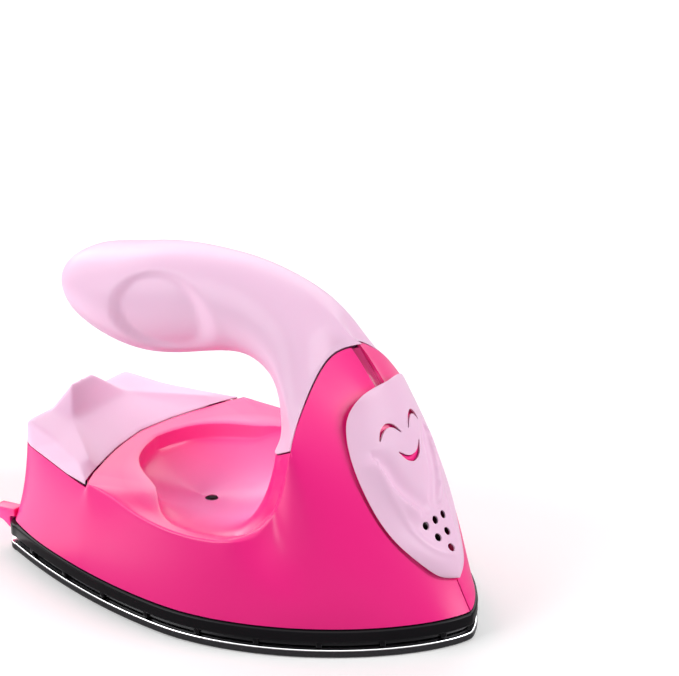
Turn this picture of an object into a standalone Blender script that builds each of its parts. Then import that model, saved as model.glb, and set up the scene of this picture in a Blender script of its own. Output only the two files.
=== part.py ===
"""Mini craft iron: a small hobby iron with a hot-pink body in two halves, a pale-pink handle in
two halves, a faceted rear deck, an oval nose plate with a plain smile, a black skirt and a black
coated soleplate. All lengths are in metres. Points are worked out in the heel frame: X runs from
the soleplate's rear edge towards the nose, Y to the iron's left, Z up from the sole. One empty
carries every piece, so that the origin is on the floor under the middle of the whole iron."""

import math

import bmesh
import bpy
import numpy as np
from mathutils import Matrix, Vector

# Overall sizes
SOLE_LENGTH = 0.110
SOLE_HALF_WIDTH = 0.0358
HEEL_WIDTH_share = 0.67877
HEEL_HALF_WIDTH = SOLE_HALF_WIDTH * HEEL_WIDTH_share
WIDEST_AT_share = 0.49636
WIDEST_AT = SOLE_LENGTH * WIDEST_AT_share
HOOD_HEIGHT = 0.0609
HANDLE_HEIGHT = 0.0737
HANDLE_OVER_HOOD_share = 1.21018
CORNER_RADIUS = 0.0036
FLANK_POWER_share = 1.9
NOSE_FULLNESS_share = 1.8
NOSE_POWER_share = 0.704
NOSE_INSET_share = 1.25
HEAD_STEP_share = 0.6

# Gaps and walls
GAP = 0.0003
OVERRUN = 0.004
WALL = 0.0016
DECK_WALL = 0.0014
HANDLE_WALL = 0.0018
PLATE_WALL = 0.0008

# Soleplate and skirt, from the bottom up
SOLE_THICKNESS = 0.0020
SOLE_BEVEL = 0.0005
PAD_HEIGHT = 0.0022
PAD_INSET = 0.0084
GROOVE_HEIGHT = 0.0016
GROOVE_DEPTH = 0.0013
BAND_HEIGHT = 0.0028
FLANGE_INSET = 0.0078
TONGUE_INSET = 0.0130
RIB_WIDTH = 0.0012
RIB_PITCH = 0.0134

# Body shell
BODY_INSET = 0.0005
FLANK_BULGE = 0.0004
RECESS_DEPTH = 0.0026
REBATE_WIDTH = 0.0032
HOOD_GROOVE_WIDTH = 0.0026
HOOD_GROOVE_DEPTH = 0.0008
LAMP_HOLE_RADIUS = 0.0015
DECK_CORNER_THIN = 0.0080
HOOD_EDGE_THIN = 0.0060
HANDLE_EDGE_THIN = 0.0100
THIN_share = 0.3
FOOT_REACH = 0.0052
FOOT_WIDTH = 0.0033
FOOT_HEIGHT = 0.0027
FOOT_WEB_DROP = 0.0032
FOOT_OFFSET_share = 0.59497
FOOT_OFFSET = SOLE_HALF_WIDTH * FOOT_OFFSET_share
BOSS_RADIUS = 0.0028
SCREW_RADIUS = 0.0011
SCREW_HEAD_RADIUS = 0.0021
SCREW_HEAD_HEIGHT = 0.0013
SCREW_CLEARANCE = 0.0003
BOSS_HEIGHT = 0.0070
REAR_BOSS_AT = 0.0062
REAR_BOSS_OFFSET_share = 0.5419
REAR_BOSS_OFFSET = SOLE_HALF_WIDTH * REAR_BOSS_OFFSET_share
FRONT_BOSS_AT_share = 0.72273
FRONT_BOSS_AT = SOLE_LENGTH * FRONT_BOSS_AT_share
FRONT_BOSS_OFFSET_share = 0.65642
FRONT_BOSS_OFFSET = SOLE_HALF_WIDTH * FRONT_BOSS_OFFSET_share

# Handle
GRIP_HALF_WIDTH = 0.0132
DIMPLE_LENGTH = 0.0138
DIMPLE_HEIGHT = 0.0100
DIMPLE_DEPTH = 0.0016
HANDLE_BOSS_RADIUS = 0.0030

# Oval plate on the nose
PLATE_PROUD = 0.0003
VENT_RADIUS = 0.0008
SMILE_WIDTH = 0.0009
POCKET_FRONT = 0.0030

# Heater, its clamp and its covers
ELEMENT_RADIUS = 0.0019
ELEMENT_HALF_SPAN = 0.0105
ELEMENT_REAR_AT_share = 0.2
ELEMENT_REAR_AT = SOLE_LENGTH * ELEMENT_REAR_AT_share
ELEMENT_BEND_AT_share = 0.545455
ELEMENT_BEND_AT = SOLE_LENGTH * ELEMENT_BEND_AT_share
PIN_END_RADIUS = 0.0007
PIN_END_LENGTH = 0.0052
CLAMP_AT_share = 0.457273
CLAMP_AT = SOLE_LENGTH * CLAMP_AT_share
CLAMP_WIDTH = 0.0050
CLAMP_THICKNESS = 0.0009
CLAMP_FOOT_HALF_WIDTH = 0.0030
CLAMP_HALF_SPAN = 0.0130
MICA_THICKNESS = 0.0004
MICA_HALF_WIDTH = 0.0138
SHIELD_THICKNESS = 0.0005
SHIELD_HALF_WIDTH = 0.0148
COVER_REAR_AT_share = 0.195455
COVER_REAR_AT = SOLE_LENGTH * COVER_REAR_AT_share
COVER_FRONT_AT_share = 0.436364
COVER_FRONT_AT = SOLE_LENGTH * COVER_FRONT_AT_share
COVER_HOLE_RADIUS = 0.0030

# Thermostat in the middle of the heater's bend
THERMOSTAT_AT_share = 0.563636
THERMOSTAT_AT = SOLE_LENGTH * THERMOSTAT_AT_share
THERMOSTAT_RADIUS = 0.0055
CUP_WALL = 0.0005
CUP_HEIGHT = 0.0022
DISC_RADIUS = 0.0046
DISC_THICKNESS = 0.0003
CARRIER_HEIGHT = 0.0025
PUSH_PIN_RADIUS = 0.0006
PIN_TRAVEL = 0.0004
BLADE_LENGTH = 0.0090
BLADE_WIDTH = 0.0022
BLADE_THICKNESS = 0.0004
POST_LENGTH = 0.0016
POST_HEIGHT = 0.0012

# Thermal fuse
FUSE_AT_share = 0.218182
FUSE_AT = SOLE_LENGTH * FUSE_AT_share
FUSE_OFFSET = 0.0045
FUSE_RADIUS = 0.0011
FUSE_LENGTH = 0.0080
CLIP_LENGTH = 0.0030
CLIP_WALL = 0.0005

# Indicator lamp under the bowl
LAMP_RADIUS = 0.0013
LAMP_HEIGHT = 0.0028
HOLDER_LENGTH = 0.0070
HOLDER_WIDTH = 0.0070
HOLDER_HEIGHT = 0.0026
LENS_RADIUS = 0.0012
LENS_FLANGE_RADIUS = 0.0021
LENS_FLANGE_HEIGHT = 0.0005
LENS_HEIGHT = 0.0033

# Cord gland and terminal block at the rear
GLAND_RADIUS = 0.0032
GLAND_BORE_RADIUS = 0.0016
GLAND_LIP = 0.0010
GLAND_LIP_THICKNESS = 0.0009
GLAND_REACH = 0.0036
BLOCK_AT = 0.0062
BLOCK_LENGTH = 0.0080
BLOCK_WIDTH = 0.0150
BLOCK_HEIGHT = 0.0056
BLOCK_SCREW_OFFSET = 0.0045
BLOCK_SCREW_DEPTH = 0.0036
WIRE_RADIUS = 0.0006
WIRE_RISE = 0.0026

SKIRT_TOP = SOLE_THICKNESS + GROOVE_HEIGHT + BAND_HEIGHT
BODY_BOTTOM = SKIRT_TOP + GAP
BODY_RISE = HOOD_HEIGHT - BODY_BOTTOM
PAD_TOP = SOLE_THICKNESS + PAD_HEIGHT

# Body wall columns from the rear centre round the left side to the nose. Each has its foot on the
# outline, then the wall's top edge. Shares are of the sole's length, half width and body rise.
REAR_FOOT_shares = [(0.0, 0.0), (0.0, 0.285), (0.0, 0.555), (0.010, 0.652), (0.033, 0.702)]
SIDE_FOOT_shares = [0.111, 0.185, 0.252, 0.259, 0.306, 0.380, 0.463, 0.537, 0.593, 0.620]
NOSE_FOOT_shares = [0.657, 0.694, 0.731, 0.759, 0.792, 0.833, 0.870, 0.907, 0.944, 0.972, 0.992, 1.0]
EDGE_shares = [
    (0.006, 0.000, 0.312), (0.006, 0.256, 0.312), (0.006, 0.444, 0.312), (0.012, 0.487, 0.312),
    (0.033, 0.530, 0.313), (0.115, 0.627, 0.315), (0.185, 0.709, 0.316), (0.252, 0.778, 0.317),
    (0.259, 0.783, 0.339), (0.306, 0.792, 0.337), (0.380, 0.849, 0.316), (0.463, 0.886, 0.303),
    (0.537, 0.880, 0.300), (0.593, 0.852, 0.307), (0.614, 0.835, 0.315), (0.632, 0.818, 0.324),
    (0.651, 0.769, 0.339), (0.669, 0.701, 0.363), (0.680, 0.621, 0.416), (0.694, 0.607, 0.489),
    (0.706, 0.604, 0.592), (0.713, 0.593, 0.678), (0.709, 0.521, 0.755), (0.706, 0.379, 0.858),
    (0.701, 0.222, 0.933), (0.706, 0.083, 0.976), (0.744, 0.000, 1.000),
]
# Points a third and two thirds of the way up the nose's columns, where the hood swells
HOOD_LOW_shares = [
    (0.705, 0.809, 0.127), (0.737, 0.755, 0.140), (0.762, 0.712, 0.159), (0.798, 0.644, 0.210),
    (0.826, 0.570, 0.236), (0.857, 0.479, 0.262), (0.883, 0.345, 0.298), (0.905, 0.214, 0.322),
    (0.911, 0.083, 0.337), (0.913, 0.000, 0.345),
]
HOOD_HIGH_shares = [
    (0.684, 0.775, 0.238), (0.706, 0.700, 0.272), (0.726, 0.670, 0.309), (0.752, 0.640, 0.403),
    (0.765, 0.598, 0.457), (0.789, 0.513, 0.509), (0.812, 0.387, 0.579), (0.830, 0.236, 0.629),
    (0.842, 0.091, 0.655), (0.843, 0.000, 0.672),
]
# Deck's front arc, then the bowl's rim, the bowl's fall and its inner end, from the rear centre
# forward. The inner end runs along the centre to the lamp and on round the foot of the column.
ARC_shares = [(0.185, 0.000), (0.197, 0.254), (0.211, 0.419), (0.226, 0.560), (0.236, 0.650)]
ARC_HEIGHT_share = 0.334
REBATE_DEPTH_shares = [1.0, 1.0, 1.0, 0.9, 0.5, 0.0]
RIM_shares = [
    (0.224, 0.000, 0.331), (0.240, 0.199, 0.331), (0.266, 0.330, 0.330), (0.310, 0.439, 0.328),
    (0.361, 0.521, 0.322), (0.380, 0.581, 0.319), (0.403, 0.652, 0.309), (0.435, 0.741, 0.296),
    (0.477, 0.792, 0.288), (0.532, 0.792, 0.285), (0.580, 0.764, 0.290), (0.602, 0.741, 0.296),
    (0.619, 0.724, 0.307), (0.639, 0.684, 0.322), (0.657, 0.638, 0.356), (0.673, 0.590, 0.419),
    (0.689, 0.584, 0.498), (0.703, 0.593, 0.599), (0.713, 0.593, 0.678),
]
RECESS_shares = [1.0, 1.0, 1.0, 1.0, 1.0, 0.8, 0.45, 0.2, 0.08] + [0.0] * 10
FALL_shares = [
    (0.287, 0.000, 0.124), (0.301, 0.100, 0.124), (0.315, 0.171, 0.124), (0.343, 0.228, 0.127),
    (0.380, 0.271, 0.131), (0.389, 0.299, 0.135), (0.407, 0.328, 0.139), (0.438, 0.356, 0.146),
    (0.481, 0.385, 0.157), (0.532, 0.399, 0.165), (0.569, 0.427, 0.170), (0.579, 0.456, 0.180),
    (0.594, 0.484, 0.217), (0.619, 0.513, 0.292), (0.644, 0.541, 0.386), (0.662, 0.541, 0.479),
    (0.681, 0.553, 0.554), (0.697, 0.570, 0.629), (0.713, 0.593, 0.678),
]
SEAM_shares = [
    (0.352, 0.000, 0.112), (0.361, 0.000, 0.112), (0.370, 0.000, 0.112), (0.380, 0.000, 0.112),
    (0.389, 0.000, 0.112), (0.398, 0.000, 0.112), (0.412, 0.000, 0.114), (0.444, 0.000, 0.120),
    (0.491, 0.000, 0.135), (0.546, 0.000, 0.187), (0.586, 0.000, 0.330), (0.611, 0.000, 0.573),
    (0.613, 0.199, 0.573), (0.623, 0.353, 0.575), (0.644, 0.439, 0.590), (0.662, 0.473, 0.610),
    (0.678, 0.507, 0.631), (0.696, 0.550, 0.655), (0.713, 0.593, 0.678),
]
FIRST_EDGE_WITH_TOP = 8
FIRST_SEAM_ON_COLUMN = 11
LAMP_AT_share = 0.3677
STEER_FROM_shares = (0.667, 0.0, 0.629)
# Rear deck
DECK_PEAK_shares = (0.025, 0.085, 0.491)
DECK_NOTCH_shares = (0.009, 0.242, 0.410)
DECK_CORNER_shares = (0.012, 0.474, 0.417)
DECK_MIDDLE_shares = (0.076, 0.268, 0.397)
DECK_SIDE_shares = (0.206, 0.575, 0.371)
DECK_FOLD_shares = [(0.115, 0.547, 0.386), (0.199, 0.652, 0.365)]
DECK_FRONT_HEIGHT_share = 0.339
DECK_THIN_share = 0.35
# Handle stations from the rear: upper point, lower point and half width, in shares of the sole's
# length, the handle's or hood's height and the grip's half width
HANDLE_TOP_shares = [
    (0.030, 0.847), (0.037, 0.871), (0.051, 0.895), (0.083, 0.921), (0.130, 0.938), (0.189, 0.957),
    (0.250, 0.979), (0.315, 0.993), (0.380, 0.999), (0.444, 1.000), (0.500, 0.992), (0.557, 0.973),
    (0.610, 0.947), (0.647, 0.917), (0.676, 0.889), (0.700, 0.864), (0.722, 0.837),
]
HANDLE_LOW_shares = [
    (0.031, 0.825), (0.038, 0.803), (0.051, 0.773), (0.083, 0.718), (0.130, 0.682), (0.189, 0.656),
    (0.250, 0.645), (0.315, 0.659), (0.380, 0.687), (0.444, 0.712), (0.494, 0.721), (0.535, 0.709),
    (0.565, 0.689), (0.588, 0.665), (0.603, 0.633), (0.612, 0.596), (0.617, 0.552),
]
HANDLE_WIDTH_shares = [
    0.10, 0.38, 0.61, 0.84, 0.95, 1.0, 0.98, 0.92, 0.85, 0.79, 0.77, 0.79, 0.85, 0.93, 1.04, 1.18, 1.38,
]
HANDLE_BLEND_shares = [0.0] * 12 + [0.05, 0.15, 0.35, 0.6, 0.85]
HANDLE_HOOD_shares = [0.0] * 9 + [0.1, 0.3, 0.5, 0.7, 0.85] + [1.0] * 3
DIMPLE_shares = (0.335, 0.825)
HANDLE_BOSS_shares = [(0.110, 0.805), (0.380, 0.835), (0.633, 0.766)]
HANDLE_BOSS_REACH_shares = [0.77, 0.77, 0.9]
# Oval plate: half outline from its top, and the line down its middle
PLATE_EDGE_shares = [
    (0.793, 0.000, 0.900), (0.781, 0.174, 0.878), (0.778, 0.279, 0.805), (0.787, 0.339, 0.730),
    (0.802, 0.376, 0.633), (0.821, 0.382, 0.549), (0.854, 0.362, 0.425), (0.889, 0.308, 0.315),
    (0.929, 0.199, 0.208), (0.951, 0.120, 0.154), (0.967, 0.000, 0.128),
]
PLATE_MIDDLE_shares = [
    (0.128, 0.967), (0.154, 0.967), (0.217, 0.960), (0.249, 0.948), (0.294, 0.927), (0.341, 0.907),
    (0.382, 0.901), (0.423, 0.894), (0.500, 0.876), (0.588, 0.861), (0.704, 0.836), (0.900, 0.793),
]
PLATE_LEAN_shares = (0.87, 0.0, 0.493)
WINDOW_share = 0.72
VENT_shares = [(0.907, 0.0, 0.343), (0.907, 0.091, 0.343), (0.907, -0.091, 0.343),
               (0.927, 0.048, 0.294), (0.927, -0.048, 0.294), (0.947, 0.0, 0.249)]
SMILE_shares = [(-0.105, 0.629), (-0.055, 0.598), (0.0, 0.588), (0.055, 0.598), (0.105, 0.629)]
EYE_shares = [(0.037, 0.691), (0.080, 0.722), (0.125, 0.730), (0.165, 0.715), (0.197, 0.684)]

MATERIALS = {
    "hot_pink": ((0.90, 0.035, 0.27, 1.0), 0.22, 0.0),
    "pale_pink": ((0.90, 0.60, 0.74, 1.0), 0.38, 0.0),
    "skirt_black": ((0.018, 0.017, 0.020, 1.0), 0.32, 0.0),
    "sole_black": ((0.022, 0.021, 0.024, 1.0), 0.25, 0.3),
    "inner_plastic": ((0.10, 0.10, 0.11, 1.0), 0.55, 0.0),
    "steel": ((0.55, 0.55, 0.57, 1.0), 0.30, 1.0),
    "aluminium": ((0.75, 0.76, 0.78, 1.0), 0.35, 1.0),
    "brass": ((0.72, 0.52, 0.22, 1.0), 0.30, 1.0),
    "mica": ((0.62, 0.52, 0.38, 1.0), 0.60, 0.0),
    "ceramic": ((0.82, 0.80, 0.76, 1.0), 0.60, 0.0),
    "rubber": ((0.03, 0.03, 0.03, 1.0), 0.75, 0.0),
    "clear_red": ((0.75, 0.05, 0.05, 1.0), 0.10, 0.0),
    "board_green": ((0.05, 0.22, 0.10, 1.0), 0.50, 0.0),
    "wire_red": ((0.55, 0.04, 0.04, 1.0), 0.50, 0.0),
    "wire_blue": ((0.04, 0.10, 0.45, 1.0), 0.50, 0.0),
}


def clear_scene():
    for item in list(bpy.data.objects):
        bpy.data.objects.remove(item, do_unlink=True)


def material(name):
    found = bpy.data.materials.get(name)
    if found:
        return found
    colour, roughness, metallic = MATERIALS[name]
    made = bpy.data.materials.new(name)
    made.use_nodes = True
    shader = made.node_tree.nodes["Principled BSDF"]
    shader.inputs["Base Color"].default_value = colour
    shader.inputs["Roughness"].default_value = roughness
    shader.inputs["Metallic"].default_value = metallic
    made.diffuse_color = colour
    return made


def finish_mesh(name, bm, finish):
    """Turns a closed body's faces outwards and makes it an object."""
    bmesh.ops.recalc_face_normals(bm, faces=bm.faces)
    if bm.calc_volume(signed=True) < 0:
        bmesh.ops.reverse_faces(bm, faces=bm.faces)
    mesh = bpy.data.meshes.new(name)
    bm.to_mesh(mesh)
    bm.free()
    mesh.materials.append(material(finish))
    item = bpy.data.objects.new(name, mesh)
    bpy.context.scene.collection.objects.link(item)
    return item


def add_object(name, points, faces, finish):
    """One closed mesh from points and faces, its normals turned outwards."""
    bm = bmesh.new()
    made = [bm.verts.new(p) for p in points]
    for face in faces:
        bm.faces.new([made[i] for i in face])
    return finish_mesh(name, bm, finish)


def hide(item):
    item.hide_render = True
    item.display_type = "WIRE"
    return item


def change(item, operation, cutter):
    modifier = item.modifiers.new(operation.lower() + "_" + cutter.name, "BOOLEAN")
    modifier.operation = operation
    modifier.solver = "EXACT"
    modifier.object = cutter


def cut(item, *cutters):
    for cutter in cutters:
        change(item, "DIFFERENCE", hide(cutter))


def join(item, *others):
    for other in others:
        change(item, "UNION", hide(other))


def split_faces(item):
    """Cuts the many-sided faces that Booleans leave into triangles."""
    item.modifiers.new("triangles", "TRIANGULATE")


def loft(name, rings, finish, round_trip=False):
    """Rings of equal count joined one after another, with flat caps or back to the first ring."""
    count = len(rings[0])
    points = [p for ring in rings for p in ring]
    last = len(rings) if round_trip else len(rings) - 1
    faces = []
    for row in range(last):
        here, there = row * count, (row + 1) % len(rings) * count
        for k in range(count):
            turn = (k + 1) % count
            faces.append((here + k, here + turn, there + turn, there + k))
    if not round_trip:
        faces.append(tuple(range(count)))
        faces.append(tuple(range((len(rings) - 1) * count, len(rings) * count)))
    return add_object(name, points, faces, finish)


def box(name, low, high, finish="inner_plastic"):
    (ax, ay, az), (bx, by, bz) = low, high
    floor = [(ax, ay, az), (bx, ay, az), (bx, by, az), (ax, by, az)]
    roof = [(x, y, bz) for x, y, _ in floor]
    return loft(name, [floor, roof], finish)


def turned(name, centre, axis, profile, finish="inner_plastic", sides=16):
    """A solid turned about axis: profile is a list of (distance along the axis, radius)."""
    along = Vector(axis).normalized()
    spin = along.to_track_quat("Z", "Y")
    rings = []
    for distance, radius in profile:
        ring = []
        for k in range(sides):
            angle = math.pi * (2 * k + 1) / sides
            local = Vector((radius * math.cos(angle), radius * math.sin(angle), distance))
            ring.append(tuple(Vector(centre) + spin @ local))
        rings.append(ring)
    return loft(name, rings, finish)


def prism(name, outline, low, high, finish="inner_plastic"):
    """An XZ outline carried along Y from low to high."""
    return loft(name, [[(x, low, z) for x, z in outline], [(x, high, z) for x, z in outline]], finish)


def tube(name, path, radius, finish, resolution=2):
    curve = bpy.data.curves.new(name, "CURVE")
    curve.dimensions = "3D"
    curve.bevel_depth = radius
    curve.bevel_resolution = resolution
    curve.use_fill_caps = True
    spline = curve.splines.new("POLY")
    spline.points.add(len(path) - 1)
    for point, place in zip(spline.points, path):
        point.co = (*place, 1.0)
    curve.materials.append(material(finish))
    item = bpy.data.objects.new(name, curve)
    bpy.context.scene.collection.objects.link(item)
    return item


def spot(shares):
    x, y, z = shares
    return np.array((x * SOLE_LENGTH, y * SOLE_HALF_WIDTH, BODY_BOTTOM + z * BODY_RISE))


def smooth(points, steps):
    """A Catmull-Rom curve through points, with steps parts between each pair."""
    points = np.array(points, float)
    ends = np.vstack([2 * points[0] - points[1], points, 2 * points[-1] - points[-2]])
    made = []
    for k in range(len(points) - 1):
        a, b, c, d = ends[k : k + 4]
        for t in np.arange(steps) / steps:
            made.append(
                0.5 * (2 * b + (c - a) * t + (2 * a - 5 * b + 4 * c - d) * t**2
                       + (3 * b - a - 3 * c + d) * t**3)
            )
    made.append(points[-1])
    return np.array(made)


def half_width(x):
    """Half the sole's width at x: a soft curve to the widest place, then a full round nose."""
    if x < WIDEST_AT:
        back = (WIDEST_AT - x) / WIDEST_AT
        return SOLE_HALF_WIDTH - (SOLE_HALF_WIDTH - HEEL_HALF_WIDTH) * back**FLANK_POWER_share
    along = min(1.0, (x - WIDEST_AT) / (SOLE_LENGTH - WIDEST_AT))
    return SOLE_HALF_WIDTH * (1 - along**NOSE_FULLNESS_share) ** NOSE_POWER_share


def half_outline():
    """The left half of the sole's outline in plan, from the rear centre to the nose's tip."""
    straight = half_width(0) - CORNER_RADIUS
    points = [(0.0, 0.0), (0.0, straight / 2)]
    for k in range(4):
        turn = math.pi / 2 * k / 4
        rise = half_width(CORNER_RADIUS) - straight
        points.append((CORNER_RADIUS * (1 - math.cos(turn)), straight + rise * math.sin(turn)))
    for k in range(6):
        x = CORNER_RADIUS + (WIDEST_AT - CORNER_RADIUS) * k / 6
        points.append((x, half_width(x)))
    for k in range(12):
        x = WIDEST_AT + (SOLE_LENGTH - WIDEST_AT) * math.sin(math.pi / 2 * k / 12)
        points.append((x, half_width(x)))
    return points + [(SOLE_LENGTH, 0.0)]


def inset_point(x, y, inset):
    slim = (SOLE_LENGTH - inset * (1 + NOSE_INSET_share)) / SOLE_LENGTH
    return inset + x * slim, y * (1 - inset / SOLE_HALF_WIDTH)


def sole_ring(inset, z):
    half = [inset_point(x, y, inset) for x, y in half_outline()]
    return [(x, y, z) for x, y in half] + [(x, -y, z) for x, y in half[-2:0:-1]]


def outline_spot(inset, distance):
    """The point and the outward direction at a distance along the outline from the rear corner."""
    half = [Vector(inset_point(x, y, inset)) for x, y in half_outline()][5:]
    for a, b in zip(half, half[1:]):
        step = (b - a).length
        if distance <= step:
            along = (b - a) / step
            return a + along * distance, Vector((-along.y, along.x))
        distance -= step
    return half[-1], Vector((1, 0))


def mirrored(points, faces):
    """A surface of the left side together with its copy on the right."""
    count = len(points)
    flip = np.array((1, -1, 1))
    return np.vstack([points, points * flip]), faces + [tuple(i + count for i in f[::-1]) for f in faces]


def grid_faces(rows, columns, start=0):
    """Faces of a grid whose points are listed column after column."""
    faces = []
    for c in range(columns - 1):
        for r in range(rows - 1):
            a = start + c * rows + r
            faces.append((a, a + rows, a + rows + 1, a + 1))
    return faces


def shell(name, points, faces, wall, finish, steer=None, thin=None):
    """A closed wall: the surface, a copy moved inwards and a strip along each open edge. Edge points
    that steer accepts move along its direction, and thin scales the wall at chosen points."""
    bm = bmesh.new()
    made = [bm.verts.new(p) for p in points]
    for face in faces:
        bm.faces.new([made[i] for i in face])
    bmesh.ops.remove_doubles(bm, verts=bm.verts, dist=GAP / 20)
    bmesh.ops.recalc_face_normals(bm, faces=bm.faces)
    middle = sum((v.co for v in bm.verts), Vector()) / len(bm.verts)
    if sum((f.calc_center_median() - middle).dot(f.normal) * f.calc_area() for f in bm.faces) < 0:
        bmesh.ops.reverse_faces(bm, faces=bm.faces)
    bm.normal_update()
    inner = {}
    for v in bm.verts:
        direction = v.normal.copy()
        even = 1 / max(0.62, min(direction.dot(f.normal) for f in v.link_faces))
        steered = steer(v.co, direction) if steer and v.is_boundary else None
        if steered is not None:
            direction, even = steered, 1.0
        if abs(v.co.y) < GAP / 2 + GAP / 20:
            direction = Vector((direction.x, 0, direction.z)).normalized()
        inner[v] = v.co - direction * wall * even * (thin(v.co) if thin else 1.0)
    outer = list(bm.verts)
    outside = list(bm.faces)
    edges = [e for e in bm.edges if e.is_boundary]
    copy = {v: bm.verts.new(inner[v]) for v in outer}
    for e in edges:
        a, b = e.verts
        bm.faces.new([a, b, copy[b], copy[a]])
    for face in outside:
        bm.faces.new([copy[v] for v in reversed(face.verts)])
    bmesh.ops.triangulate(bm, faces=bm.faces[:])
    return finish_mesh(name, bm, finish)


def level(direction):
    return Vector((direction.x, direction.y, 0)).normalized()


def half_shells(left_name, right_name, points, faces, wall, finish, steer, thin):
    """Two walls from one side's surface, each stopping half a gap short of the parting plane."""
    pair = []
    for name, side in ((left_name, 1), (right_name, -1)):
        half = points.copy()
        half[:, 1] = np.maximum(half[:, 1], GAP / 2) * side
        pair.append(shell(name, half, faces, wall, finish, steer, thin))
    return pair


# Soleplate and skirt


def make_soleplate():
    rings = [
        sole_ring(SOLE_BEVEL, 0.0),
        sole_ring(0.0, SOLE_BEVEL),
        sole_ring(0.0, SOLE_THICKNESS),
        sole_ring(PAD_INSET, SOLE_THICKNESS),
        sole_ring(PAD_INSET, PAD_TOP),
    ]
    plate = loft("soleplate", rings, "sole_black")
    for k, (x, y) in enumerate(sole_screw_places()):
        hole = turned(f"sole_hole_{k}", (x, y, SOLE_THICKNESS), (0, 0, 1),
                      [(0, SCREW_RADIUS + SCREW_CLEARANCE), (PAD_HEIGHT + OVERRUN, SCREW_RADIUS + SCREW_CLEARANCE)],
                      sides=12)
        cut(plate, hole)
    return plate


def sole_screw_places():
    inset = (FLANGE_INSET + TONGUE_INSET) / 2
    half = half_outline()
    places = []
    for index in (7, 15):
        x, y = inset_point(*half[index], inset)
        places += [(x, y), (x, -y)]
    return places


def make_skirt():
    foot = SOLE_THICKNESS + GAP
    shelf = SOLE_THICKNESS + GROOVE_HEIGHT
    rings = [
        sole_ring(GROOVE_DEPTH, foot),
        sole_ring(GROOVE_DEPTH, shelf),
        sole_ring(0.0, shelf),
        sole_ring(0.0, SKIRT_TOP - SOLE_BEVEL),
        sole_ring(SOLE_BEVEL, SKIRT_TOP),
        sole_ring(TONGUE_INSET, SKIRT_TOP),
        sole_ring(TONGUE_INSET, PAD_TOP + GAP),
        sole_ring(FLANGE_INSET, PAD_TOP + GAP),
        sole_ring(FLANGE_INSET, foot),
    ]
    skirt = loft("skirt", rings, "skirt_black", round_trip=True)
    ribs = rib_block(foot, shelf + GAP)
    join(skirt, ribs)
    for k, (x, y) in enumerate(sole_screw_places()):
        bore = SCREW_RADIUS + SCREW_CLEARANCE
        hole = turned(f"skirt_hole_{k}", (x, y, PAD_TOP), (0, 0, 1), [(0, bore), (OVERRUN, bore)], sides=12)
        cut(skirt, hole)
    for k, (x, y) in enumerate(body_boss_places()):
        bore = SCREW_RADIUS + SCREW_CLEARANCE
        wide = SCREW_HEAD_RADIUS + SCREW_CLEARANCE
        low = SOLE_THICKNESS - OVERRUN
        seat = foot + SCREW_HEAD_HEIGHT + SCREW_CLEARANCE
        hole = turned(f"skirt_bore_{k}", (x, y, 0), (0, 0, 1),
                      [(low, wide), (seat, wide), (seat, bore), (SKIRT_TOP + OVERRUN, bore)], sides=12)
        cut(skirt, hole)
    return skirt


def rib_block(low, high):
    """Small upright ribs across the groove, evenly along both sides."""
    points, faces = [], []
    run = sum((Vector(b) - Vector(a)).length for a, b in zip(half_outline()[5:], half_outline()[6:]))
    count = int((run - RIB_PITCH / 2) / RIB_PITCH)
    for side in (1, -1):
        for k in range(count):
            place, out = outline_spot(SOLE_BEVEL, RIB_PITCH * (k + 0.5))
            along = Vector((-out.y, out.x)) * RIB_WIDTH / 2
            depth = out * (GROOVE_DEPTH + GAP)
            base = len(points)
            for z in (low, high):
                for corner in (place + along, place - along, place - along - depth, place + along - depth):
                    points.append((corner.x, corner.y * side, z))
            faces += [(base, base + 1, base + 2, base + 3), (base + 4, base + 5, base + 6, base + 7)]
            faces += [(base + i, base + (i + 1) % 4, base + 4 + (i + 1) % 4, base + 4 + i) for i in range(4)]
    return add_object("groove_ribs", points, faces, "skirt_black")


# Body


def body_boss_places():
    return [(REAR_BOSS_AT, REAR_BOSS_OFFSET), (REAR_BOSS_AT, -REAR_BOSS_OFFSET),
            (FRONT_BOSS_AT, FRONT_BOSS_OFFSET), (FRONT_BOSS_AT, -FRONT_BOSS_OFFSET)]


def wall_columns(steps):
    """Feet, two rows between and top edges of the wall's columns, as smooth curves."""
    feet = [(x * SOLE_LENGTH, y * SOLE_HALF_WIDTH) for x, y in REAR_FOOT_shares]
    feet += [(x * SOLE_LENGTH, half_width(x * SOLE_LENGTH)) for x in SIDE_FOOT_shares + NOSE_FOOT_shares]
    feet = [inset_point(x, y, BODY_INSET) for x, y in feet]
    foot = np.array([(x, y, BODY_BOTTOM) for x, y in feet])
    foot[-1][1] = 0.0
    edge = np.array([spot(s) for s in EDGE_shares])
    low = foot + (edge - foot) / 3
    high = foot + (edge - foot) * 2 / 3
    swell = np.array([(0.0, 1.0, 0.0)]) * FLANK_BULGE
    low[5:], high[5:] = low[5:] + swell, high[5:] + swell
    first = len(edge) - len(HOOD_LOW_shares)
    low[first:] = [spot(s) for s in HOOD_LOW_shares]
    high[first:] = [spot(s) for s in HOOD_HIGH_shares]
    return [smooth(row, steps) for row in (foot, low, high, edge)]


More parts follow.
